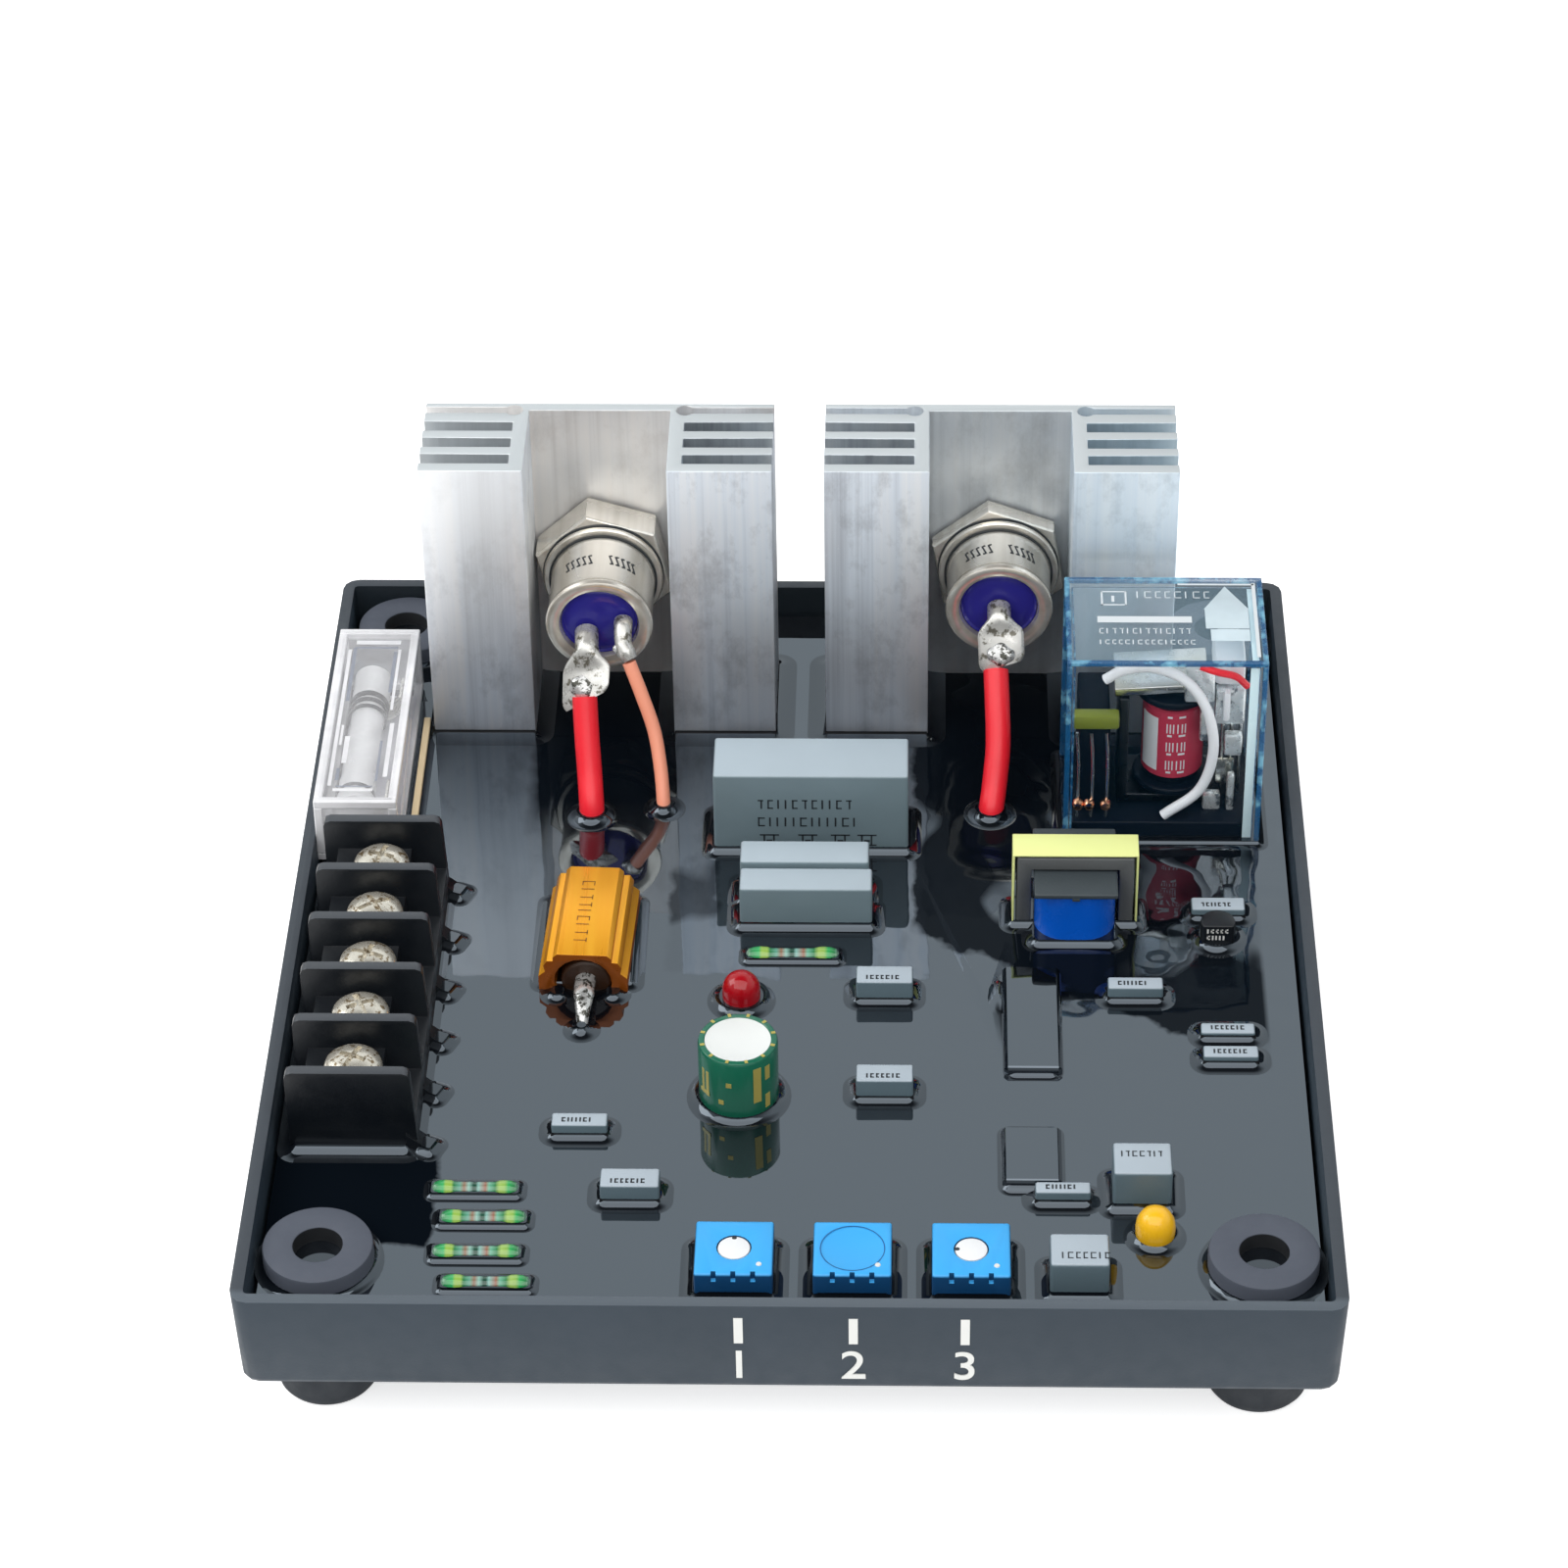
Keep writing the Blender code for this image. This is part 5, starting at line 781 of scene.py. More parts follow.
def makeResin():
    bm = copyNode("potting_compound")
    finishPiece(bm, "resinSlab", resin, ("potting_compound",), angle=20)
    bm = bmesh.new()
    for node in sinks:
        (x1, y1), (x2, y2) = nodeFootprint(node)
        middle = (x1 + x2) / 2
        block(bm, (middle - channel, y1 - 0.5, seatLevel + 0.1), (middle + channel, y2 - 1.7, resinLevel),
              0.02, 1)
    finishPiece(bm, "resinChannels", resin, angle=20)
    bm = bmesh.new()
    # painted shade: thin near-black collars at the feet of the film capacitors and the sinks
    footShade = bmesh.new()
    for i in (1, 2, 3):
        collar(bm, *nodeFootprint(f"trimmer_{i}"), 1.9, 1.5, 2.0)
    for node in boxCapacitors:
        collar(bm, *nodeFootprint(node), 1.8, 1.1)
    for x1, x2, y1, y2, _ in filmCapacitors.values():
        collar(bm, (x1, y1), (x2, y2), 1.7, 0.8, 2.2)
        collar(footShade, (x1, y1), (x2, y2), 0.5, 0.9, 0.3)
    for x, y, length in axialResistors.values():
        collar(bm, (x - length / 2, y - 1.15), (x + length / 2, y + 1.15), 1.0, 0.7, 1.2)
    for node in sinks:
        (x1, y1), (x2, y2) = nodeFootprint(node)
        middle = (x1 + x2) / 2
        half = channel + 0.2
        for low, high in (((x1, y1), (middle - half, y2)), ((middle + half, y1), (x2, y2))):
            collar(bm, low, high, 2.6, 0.4, 0.6)
            collar(footShade, low, high, 0.45, 0.75, 0.2)
    finishPiece(footShade, "resinFootShade", resinShade, angle=60, flip=False)
    collar(bm, *nodeFootprint("relay_cover"), 1.3, 0.6, 0.5)
    collar(bm, *nodeFootprint("transformer_tape"), 1.7, 1.0)
    collar(bm, *nodeFootprint("transformer_winding"), 1.7, 1.0, 2.4)
    low, high = nodeFootprint("terminal_block")
    collar(bm, (low[0] + 0.6, low[1]), (high[0] - 2.6, high[1]), 2.3, 1.1, 0.9)
    for i in range(6):  # where the resin climbs the barriers' feet
        y = low[1] + 1.0 + i * terminalPitch
        collar(bm, (high[0] - 0.8, y - 1.3), (high[0] + 0.8, y + 0.6), 1.5, 1.0, 0.5, math.radians(-24))
    collar(bm, *nodeFootprint("fuse_base"), 0.9, 0.5, 0.4)
    low, high = nodeFootprint("resistor_housing", -0.3)
    collar(bm, (low[0], low[1] + 1.2), high, 1.6, 0.55, 0.6)
    for x in (-31.6, -24.3):
        roundCollar(bm, x, -12.0, 0.9, 1.5, 0.8)
    for node, radius in (("electrolytic_capacitor", 5.1), ("indicator_led", 2.9), ("bead_capacitor", 2.3),
                         ("transistor", 2.4)):
        centre = centreOf(node)
        roundCollar(bm, centre.x, centre.y, radius, 1.6, 0.9)
    for x, y in grommet["places"].values():
        roundCollar(bm, x, y, grommet["ring"], 1.2, 0.7)
    for x, y, radius in leadFeet:
        roundCollar(bm, x, y, radius, 1.9, 1.0)
    finishPiece(bm, "resinCollars", resinRim, angle=60, flip=False)
    bm = bmesh.new()
    for x1, x2, y1, y2 in chips:
        collar(bm, (x1 + 0.6, y1 + 0.6), (x2 - 0.6, y2 - 0.6), 1.5, 0.75, 0.7, profile=skinProfile)
        block(bm, (x1 + 2.4, y1 + 2.2, resinLevel + 0.72), (x1 + 3.9, y1 + 3.2, resinLevel + 0.86), 0.3)
    finishPiece(bm, "chipSkins", resinRim, angle=60, flip=False)
    print("resin poured")


# Heat sinks
def makeSinks():
    for node in sinks:
        soften(node, 0.16, aluminium, 40)


# Stud devices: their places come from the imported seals
stud = {"hexRound": 9.815, "back": 59.1, "hexBevel": 0.4, "markRadius": 7.17,
        "thyristor": {"turn": 12.6, "hex": 5.2, "end": 17.7}, "diode": {"turn": 9.0, "hex": 2.8, "end": 13.2}}
studMarks = ((50, 2), (56, 3), (63, 2.5), (70, 3), (77, 2), (100, 3), (107, 2.5), (114, 3), (121, 2),
             (128, 3))


def makeDevice(name):
    own = stud[name]
    centre, rear = centreOf(name + "_glass_seal"), stud["back"]
    ring, end = 0.3 + own["hex"], own["end"]
    axis = (centre.x, rear, centre.z)
    bm = bmesh.new()
    lip = [(0, -2.7), (5.28, -2.7), (5.28, -0.95), (5.5, -0.4), (6.1, -0.08), (6.75, 0), (7.2, -0.15),
           (7.36, -0.5), (7.32, -0.95), (7.16, -1.25), (7.12, -1.6)]
    foot = [(7.16, 1.9), (7.3, 1.55), (7.3, 1.2), (8.1, 1.15), (8.3, 0.95), (8.3, 0.5), (8.1, 0.32),
            (7.6, 0.28), (7.6, -0.3), (3.0, -0.3)]
    stem = [(3.0, -9.0), (2.5, -9.5), (0, -9.5)]
    spun(bm, [(r, end + z) for r, z in lip] + [(r, ring + z) for r, z in foot] + stem, 96, axis, "-Y")
    radius = stud["hexRound"] * mm
    made = bmesh.ops.create_cone(bm, cap_ends=True, segments=6, radius1=radius, radius2=radius,
                                 depth=own["hex"] * mm)
    rims = [e for e in edgesOf(made["verts"]) if abs(e.verts[0].co.z - e.verts[1].co.z) < 1e-6]
    shaped = bevelEdges(bm, rims, stud["hexBevel"], 3)
    verts = list({v for f in shaped["faces"] for v in f.verts} | {v for v in made["verts"] if v.is_valid})
    place = Matrix.Translation(Vector((centre.x, rear - 0.3 - own["hex"] / 2, centre.z)) * mm)
    turn = Matrix.Rotation(math.pi / 2, 4, "X") @ Matrix.Rotation(math.radians(own["turn"]), 4, "Z")
    bmesh.ops.transform(bm, verts=verts, matrix=place @ turn)
    finishPiece(bm, name + "Case", nickel, (name + "_case",), angle=28)
    bm = bmesh.new()
    # painted shade: dark lines in the grooves round the can
    for inner, outer, face in ((7.1, 7.52, ring + 1.62), (7.6, 8.42, ring + 0.34)):
        back = face - 0.34
        spun(bm, [(inner, face), (outer, face), (outer, back), (inner, back), (inner, face)], 96, axis, "-Y")
    finishPiece(bm, name + "Grooves", darkPrintAndShade)
    glass = [(0, -1.1), (3.0, -1.12), (4.3, -1.2), (4.85, -1.35), (5.1, -1.1), (5.2, -1.1), (5.2, -2.5),
             (0, -2.5)]
    spunPiece(name + "Glass", [(r, end + z) for r, z in glass], 64, axis, violetGlass,
              (name + "_glass_seal",), axis="-Y")
    bm = bmesh.new()
    middle = (ring + 1.9 + end - 1.2) / 2
    for angle, wide in studMarks:
        a = math.radians(angle)
        out = Vector((math.cos(a), 0, math.sin(a)))
        place = Vector((centre.x, rear - middle, centre.z)) + out * stud["markRadius"]
        turn = axes(Vector((-math.sin(a), 0, math.cos(a))), Vector((0, -1, 0)), out)
        for along in (-0.95, 0.85):
            stamp(bm, place + Vector((0, -along, 0)), turn, (wide * 0.13, 0.26, 0.05))
        stamp(bm, place, turn @ Matrix.Rotation(0.3, 4, "Z"), (0.22, 2.0, 0.05))
    finishPiece(bm, name + "Marks", darkPrintAndShade)
    soften(name + "_nut", 0.3, zinc)


lugs = {
    "cathode": [(-30.1, 42.2, 38.3), (-30.0, 40.6, 37.9), (-29.9, 38.6, 36.9), (-30.0, 36.6, 34.4),
                (-30.1, 34.7, 31.8)],
    "gate": [(-25.0, 42.2, 40.0), (-25.0, 40.9, 39.8), (-24.9, 39.2, 38.5), (-24.4, 38.2, 37.7),
             (-23.9, 37.6, 36.9)],
    "diode": [(26.5, 46.8, 39.3), (26.5, 45.4, 39.0), (26.6, 43.8, 38.3), (26.8, 42.2, 36.2),
              (26.9, 40.7, 33.7)],
}
leads = {
    "cathode": (1.72, redSleeve, "red_sleeve", "thyristor_cathode_lead", [
        (-30.2, 35.2, 32.4), (-29.9, 32.2, 27.9), (-29.5, 29.2, 23.7), (-29.2, 26.4, 20.6),
        (-29.1, 25.5, 18.0)]),
    "gate": (0.95, orangeSleeve, "orange_sleeve", "thyristor_gate_lead", [
        (-24.1, 37.4, 36.6), (-22.4, 35.5, 32.5), (-20.7, 33.2, 28.0), (-19.8, 30.3, 23.5),
        (-19.4, 27.6, 19.8), (-19.3, 27.2, 18.0)]),
    "diode": (1.72, redSleeve, "red_sleeve", "diode_lead", [
        (26.1, 40.3, 33.3), (26.3, 36.5, 29.9), (26.4, 32.6, 25.9), (25.9, 29.0, 21.9), (25.5, 26.8, 19.8),
        (25.4, 26.4, 18.0)]),
}
solderBeads = ((-30.2, 35.9, 33.6, 2.1, 1.8), (26.8, 41.4, 35.4, 2.0, 1.7), (-24.9, 38.7, 38.0, 1.35, 1.2))


def bladeLug(name, points, wide, node, twist, start, slant):
    # a tube that is pressed flat into a solder tag, with its tip cut slantwise
    bm = bmesh.new()

    def press(share, size):
        flat = max(0.0, min(1.0, (share - start) / 0.28))
        flat = flat * flat * (3 - 2 * flat)
        tip = max(0.0, (share - 0.9) / 0.1)
        return (size + (wide / 2 - size) * flat) * (1 - 0.18 * tip * tip), size + (0.42 - size) * flat

    made = tube(bm, points, 1.62, 24, 8, None, press, twist)
    ahead = (Vector(points[-1]) - Vector(points[-2])).normalized()
    rings = len(made) // 24
    for i, vert in enumerate(made):
        share = max(0.0, (i // 24 / (rings - 1) - 0.5) / 0.5)
        vert.co += ahead * (points[-1][0] * mm - vert.co.x) * slant * share
    finishPiece(bm, name, lugTin, (node,), angle=40)


def makeDevices():
    makeDevice("thyristor")
    makeDevice("diode")
    bladeLug("thyristorCathodeLug", lugs["cathode"], 6.6, "thyristor_cathode_lug", 0.3, 0.4, 0.55)
    bm = bmesh.new()
    tube(bm, lugs["gate"], 1.2, 24, 8, [1.3, 1.25, 1.15, 1.25, 1.0])
    finishPiece(bm, "thyristorGateLug", lugTin, ("thyristor_gate_lug",), angle=40)
    bladeLug("diodeLug", lugs["diode"], 6.3, "diode_lug", 0.12, 0.34, 0.25)
    for name, (radius, finish, slot, node, route) in leads.items():
        bm = bmesh.new()
        tube(bm, route, radius, 28, 8)
        bevelEdges(bm, sharpEdges(bm, 60), 0.25)
        finishPiece(bm, name + "Lead", finish, (node,), angle=40)
    bm = bmesh.new()
    for x, y, z, wide, long in solderBeads:
        made = bmesh.ops.create_uvsphere(bm, u_segments=24, v_segments=14, radius=1.0)
        for v in made["verts"]:
            v.co *= 1 + 0.12 * math.sin(5 * v.co.x + x) * math.cos(4 * v.co.y + z)
        place = Matrix.Translation(Vector((x, y, z)) * mm) @ Matrix.Rotation(math.radians(48), 4, "X")
        scale = Matrix.Diagonal((wide * mm, long * mm, 0.62 * mm, 1))
        bmesh.ops.transform(bm, verts=made["verts"], matrix=place @ scale)
    finishPiece(bm, "solderBeads", solder)
    print("stud devices set")


# Relay in its clear cover
def clearCover(node, finishes, width, body="module", shift=0.0):
    bm = copyNode(node)
    bmesh.ops.translate(bm, verts=bm.verts, vec=(shift * mm, 0, 0))
    bevelEdges(bm, sharpEdges(bm, 40), width, 2, 1)
    finishPiece(bm, camel(node), finishes, (node,), body)


def edgeFrame(node, thick, finish, body="module", shift=0.0):
    # the twelve edges of a clear cover, which carry its colour
    bm = bmesh.new()
    low, high = boxOf(node)
    for x in (low.x, high.x - thick):
        for y in (low.y, high.y - thick):
            block(bm, (x, y, low.z + thick), (x + thick, y + thick, high.z - thick), 0.12, 1)
        for z in (low.z, high.z - thick):
            block(bm, (x, low.y + thick, z), (x + thick, high.y - thick, z + thick), 0.12, 1)
    for y in (low.y, high.y - thick):
        for z in (low.z, high.z - thick):
            block(bm, (low.x, y, z), (high.x, y + thick, z + thick), 0.12, 1)
    bmesh.ops.translate(bm, verts=bm.verts, vec=(shift * mm, 0, 0))
    finishPiece(bm, camel(node) + "Edges", finish, body=body)


bobbinProfile = [(0, 15.5), (5.1, 15.5), (5.3, 15.3), (5.3, 14.7), (5.1, 14.5), (3.8, 14.5), (3.8, 1.0),
                 (5.1, 1.0), (5.3, 0.8), (5.3, 0.2), (5.1, 0), (0, 0)]
# pale parts behind the cover's right side: left and right from its right edge, front, bottom and top
paleBoxes = ((-10.6, -6.6, 4.6, 24.0, 29.6), (-6.4, -2.4, 5.6, 19.6, 25.4), (-8.4, -6.6, 4.4, 17.6, 22.6),
             (-5.0, -2.6, 4.6, 15.0, 18.4), (-7.6, -5.2, 4.2, 5.0, 8.6), (-4.4, -3.4, 4.0, 3.6, 12.0))
# on the lid: a printed square with its mark, and long pale bars that are painted reflections; x, y, width and
# height in mm
coverPrintAndGlints = [(4.2, 12.2, 3.4, 0.25), (4.2, 15.2, 3.4, 0.25), (4.2, 12.2, 0.25, 3.2), (7.4, 12.2, 0.25, 3.2),
              (5.6, 13.0, 0.4, 1.4), (3.6, 8.3, 12.6, 1.4), (24.5, 0.6, 0.5, 16.8), (14.6, 16.9, 10.2, 0.35)]


def makeRelayCoil():
    centre, bottom = centreOf("relay_coil"), boxOf("relay_coil")[0].z
    place = (centre.x, centre.y, bottom)
    spunPiece("relayBobbin", bobbinProfile, 48, place, relayBlack, ("relay_coil",))
    wrap = [(3.9, 13.4), (4.2, 13.2), (4.2, 2.3), (3.9, 2.1)]
    spunPiece("relayCoilWrap", wrap, 48, place, coilRed)
    bm = bmesh.new()  # a white field, then short uprights on the red
    fields = [(a, 7.6, 8.8, 0.34) for a in range(200, 240, 4)]
    fields += [(a, 4.4 + 3.1 * i, 1.5, 0.16) for a in (256, 262, 268, 276, 284, 290) for i in range(3)]
    fields += [(a, 3.2 + 3.1 * i, 0.3, 0.34) for a in (259, 263, 280, 284, 288) for i in range(4)]
    roundStamps(bm, centre, 4.22, bottom, 0.05, fields)
    finishPiece(bm, "relayCoilLabel", label)


def makeRelayContacts():
    low, high = boxOf("relay_contacts")
    body = ((low.x + 0.5, low.y + 1.2, low.z + 0.4), (high.x - 0.5, high.y - 0.4, low.z + 14.6), 0.3)
    blockPiece("relayContactBlock", [body], relayBlack, ("relay_contacts",))
    cap = ((low.x - 0.4, low.y + 0.3, low.z + 14.4), (high.x + 0.6, low.y + 2.4, low.z + 16.6), 0.4)
    blockPiece("relayContactCap", [cap], bobbinYellow)
    bm = bmesh.new()
    front = low.y - 0.2
    for x in (low.x + 0.4, low.x + 2.3, low.x + 4.3):
        tube(bm, [(x, front, low.z + 0.2), (x + 0.1, front, low.z + 3.4), (x + 0.1, front + 0.6, low.z + 9.0),
                  (x - 0.2, front + 1.0, low.z + 13.6)], 0.22, 10, 5)
    finishPiece(bm, "relayPins", steel)
    bm = bmesh.new()
    for x in (low.x + 0.5, low.x + 2.0, low.x + 4.2):
        spun(bm, [(0, 1.2), (0.6, 1.0), (0.78, 0.6), (0.78, 0.1), (0.5, -0.2), (0, -0.3)], 20,
             (x, front - 0.1, low.z + 2.6), "-Y")
    finishPiece(bm, "relayPinTips", copper)


def makeRelayWires():
    cx, cy, cz = 48.4, 30.0, seatLevel
    y = cy - 7.3
    bm = bmesh.new()
    tube(bm, [(cx - 8.1, y + 0.3, cz + 29.2), (cx - 5.6, y, cz + 31.0), (cx - 1.8, y, cz + 31.4),
              (cx + 2.6, y, cz + 29.2), (cx + 5.6, y, cz + 24.3), (cx + 6.7, y, cz + 17.6),
              (cx + 5.1, y, cz + 11.0), (cx + 0.3, y - 0.1, cz + 6.6)], 0.72, 18, 8)
    finishPiece(bm, "relaySleeve", whiteSleeve, ("relay_braid",))
    blockPiece("relayCard", [((cx + 6.6, cy - 3.6, cz + 25.6), (cx + 10.8, cy + 4.0, cz + 30.0), 0.8),
                             ((cx + 7.9, cy - 5.0, cz + 20.6), (cx + 8.9, cy + 3.0, cz + 25.4), 0.4)],
               whiteSleeve)
    springs = [((x, cy - 3.0, cz + 7.0), (x + 0.35, cy + 3.0, cz + top), 0.08)
               for x, top in ((cx + 8.0, 20.0), (cx + 9.2, 22.0), (cx + 10.4, 24.0))]
    springs.append(((cx + 7.4, cy - 3.4, cz + 9.0), (cx + 9.9, cy - 2.8, cz + 13.0), 0.15))
    blockPiece("relaySprings", springs, steel)
    bm = bmesh.new()
    tube(bm, [(cx + 4.6, cy - 5.4, cz + 30.2), (cx + 6.8, cy - 5.8, cz + 29.6),
              (cx + 9.4, cy - 5.2, cz + 28.4), (cx + 11.0, cy - 4.6, cz + 26.4)], 0.5, 12, 6)
    finishPiece(bm, "relayRedWire", redSleeve)


def makeRelay():
    clearCover("relay_cover", [relayClear, relayEdge], 0.28)
    edgeFrame("relay_cover", 0.72, relayEdge)
    soften("relay_base", 0.3, relayBlack)
    makeRelayCoil()
    soften("relay_yoke", 0.15, darkSteel)
    soften("relay_armature", 0.15, steel, body="relay_armature")
    makeRelayContacts()
    makeRelayWires()
    low, high = boxOf("relay_cover")
    corner = (low.x + 0.6, low.y + 0.8, high.z)
    rows = wordBars(3, 8, 1.5, 0.35, 9.0, 13.9) + wordBars(5, 14, 1.2, 0.3, 3.8, 5.8)
    rows += wordBars(8, 15, 1.0, 0.35, 3.8, 3.4)
    barPiece("relayPrintAndGlints", rows + coverPrintAndGlints, corner, label, "white_sleeve")
    bm = bmesh.new()
    bars(bm, [(18.6, 4.2, 5.2, 2.6), (18.0, 7.0, 5.8, 4.4)], corner, thick=0.02)
    arrow = Matrix.Translation(Vector((low.x + 21.5, low.y + 13.9, high.z + 0.015)) * mm)
    bmesh.ops.create_circle(bm, cap_ends=True, segments=3, radius=3.5 * mm, matrix=arrow)
    finishPiece(bm, "relayHaze", relayHaze)
    # painted highlights: pale strips along the cover's right front edge and along its top
    blockPiece("relayHighlights", [
        ((high.x - 2.3, low.y + 0.75, low.z + 1.4), (high.x - 1.1, low.y + 0.9, high.z - 1.4), 0.05),
        ((high.x - 2.1, low.y + 1.4, high.z - 0.62), (high.x - 1.2, high.y - 2.0, high.z - 0.5), 0.05)],
               relayHighlight)
    base = boxOf("relay_base")[0]
    blockPiece("relayBaseMark", [(base + Vector((15.6, -0.01, 0.5)), base + Vector((20.2, 0.2, 2.3)), 0.06)],
               relayBlue)
    boxes = [((high.x + x1, low.y + y, low.z + z1), (high.x + x2, low.y + y + 1.6, low.z + z2), 0.35)
             for x1, x2, y, z1, z2 in paleBoxes]
    blockPiece("relayPaleParts", boxes, paleParts)
    print("relay made")


# Fuse holder
fuseProfile = [(0, 14.9), (2.4, 14.9), (2.6, 14.6), (2.6, 9.2), (2.45, 9.0), (2.3, 8.9), (2.3, -8.0),
               (2.45, -8.2), (2.6, -8.4), (2.6, -14.6), (2.4, -14.9), (0, -14.9)]
fuseLooks = {
    "fuseGlints": (glint, [(1.6, 3.0, 0.5, 31.0), (8.9, 5.0, 0.6, 12.0), (8.6, 20.0, 0.4, 14.0),
                           (2.6, 35.2, 6.2, 0.9), (2.4, 1.8, 5.4, 0.6), (3.0, 8.0, 0.7, 6.0),
                           (2.3, 12.0, 0.35, 4.5)]),
    "fuseShades": (glintGrey, [(2.3, 22.0, 0.5, 12.5), (8.0, 24.0, 0.5, 9.5), (2.6, 34.2, 5.9, 0.45),
                               (7.9, 4.0, 0.35, 9.0), (2.5, 4.2, 0.5, 2.6), (2.7, 2.7, 5.0, 0.3)]),
}


def makeFuse():
    shift = -0.5  # the drawn cover lies a little left of its solid, as in the photograph
    clearCover("fuse_cover", [fuseClear, fuseEdge], 0.25, "fuse_cover", shift)
    edgeFrame("fuse_cover", 1.15, fuseEdge, "fuse_cover", shift)
    soften("fuse_base", 0.25, fuseBaseFinish())
    centre = centreOf("fuse") - Vector((1.3, 0, 0))
    spunPiece("fuseTube", fuseProfile, 40, centre, whiteCeramic, ("fuse",), axis="-Y")
    bm = bmesh.new()
    for place, tall in ((-8.3, 0.35), (-6.9, 0.25), (-5.4, 0.2), (12.4, 0.3)):
        front, back = place + tall, place - tall
        spun(bm, [(2.4, front), (2.72, front), (2.72, back), (2.4, back), (2.4, front)], 40, centre, "-Y")
    finishPiece(bm, "fuseRings", darkSteel)
    low, high = boxOf("fuse_cover")
    for name, (finish, rows) in fuseLooks.items():
        barPiece(name, rows, (low.x + shift, low.y + 0.6, high.z - 0.02), finish, "fuse_clear", "fuse_cover")
    for end in ("front", "rear"):
        soften("fuse_clip_" + end, 0.06, tin)


# Terminal block and its screws
screwProfile = [(0, 0), (1.0, -0.03), (2.0, -0.2), (2.9, -0.58), (3.5, -1.12), (3.7, -1.7), (3.7, -2.2),
                (3.55, -2.38), (1.6, -2.4), (1.6, -9.0), (1.3, -9.4), (0, -9.4)]


def makeTerminals():
    soften("terminal_block", 0.28, blackMoulding, 50)
    for i in range(1, 6):
        node = f"terminal_screw_{i}"
        centre, top = centreOf(node), boxOf(node)[1].z
        place = (centre.x, centre.y, top)
        screw = spunPiece(camel(node), screwProfile, 48, place, screwTin, (node,), node)
        cutter = bmesh.new()
        for extra, long in ((0, 4.4), (math.pi / 2, 3.6)):
            turn = Matrix.Rotation(math.radians(20 + 47 * i) + extra, 4, "Z")
            stamp(cutter, place, turn, (long, 0.7, 1.6))
        carve(screw, cutter)
    print("terminals made")


def evaluated(thing):
    bpy.context.view_layer.update()
    return bpy.data.meshes.new_from_object(thing.evaluated_get(bpy.context.evaluated_depsgraph_get()))


def carve(piece, cutterMesh):
    mesh = bpy.data.meshes.new("cutter")
    cutterMesh.to_mesh(mesh)
    cutterMesh.free()
    cutter = bpy.data.objects.new("cutter", mesh)
    bpy.context.scene.collection.objects.link(cutter)
    cut = piece.modifiers.new("recess", "BOOLEAN")
    cut.operation = "DIFFERENCE"
    cut.object = cutter
    cut.solver = "EXACT"
    cut.use_self = True
    made = evaluated(piece)
    piece.modifiers.clear()
    old = piece.data
    made.name = old.name
    piece.data = made
    bpy.data.meshes.remove(old)
    bpy.data.objects.remove(cutter)
    bpy.data.meshes.remove(mesh)
    piece.data.shade_smooth()
    piece.data.set_sharp_from_angle(angle=math.radians(32))


# Trimmers: the second is sealed, so it has a ring and no rotor
dotProfile = [(0, 0.12), (0.3, 0.1), (0.36, 0.0), (0, -0.05)]
rotorProfile = [(0, 0.0), (1.75, 0.0), (1.95, -0.08), (2.0, -0.25), (2.0, -2.4), (0, -2.4)]


def makeTrimmers():
    for i, along in ((1, (0, 1.7, 0)), (2, None), (3, (-1.7, 0, 0))):
        node = f"trimmer_{i}"
        soften(node, 0.12, trimmerBlue, 50)
        low, high = boxOf(node)
        place = (high.x - 1.7, low.y + 1.9, high.z)
        spunPiece(f"trimmerDot{i}", dotProfile, 20, place, printWhite)
        if along is None:
            centre = centreOf(node)
            spunPiece("trimmerRing", [(3.86, 0.0), (3.86, 0.025), (3.98, 0.025), (3.98, 0.0)], 72,
                      (centre.x, centre.y, high.z), trimmerDark)
            continue
        node = f"trimmer_rotor_{i}"
        centre, top = centreOf(node), boxOf(node)[1].z
        place = (centre.x, centre.y, top + 0.02)
        rotor = spunPiece(camel(node), rotorProfile, 40, place, rotorWhite, (node,), node)
        cutter = bmesh.new()
        place = Vector((centre.x, centre.y, top)) + Vector(along)
        stamp(cutter, place, Matrix.Identity(4), (0.5, 0.5, 1.0))
        carve(rotor, cutter)
        # painted shade: a dark disc over the notch
        spunPiece(f"trimmerNotchShade{i}", [(0, 0.04), (0.26, 0.04), (0.3, 0.0), (0, 0.0)], 20,
                  (place.x, place.y, top + 0.02), darkPrintAndShade, body=node)


# Capacitors and other small parts
sleeveProfile = [(4.2, 13.05), (4.35, 13.2), (4.7, 13.2), (4.95, 13.05), (5.1, 12.7), (5.1, 2.3), (4.85, 1.7),
                 (5.1, 1.1), (5.1, 0.3), (4.9, 0.0), (0, 0)]
canTopProfile = [(0, 12.95), (3.9, 12.95), (4.15, 13.05), (4.3, 13.05), (4.3, 12.6)]
sleeveMarks = ((212, 8.6, 4.0, 0.5), (222, 8.6, 4.0, 0.5), (216, 7.0, 0.6, 1.8), (300, 9.2, 5.6, 1.1),
               (318, 6.0, 2.2, 0.8), (318, 10.6, 2.2, 0.8), (246, 6.6, 0.7, 0.7), (258, 9.6, 0.7, 0.7))


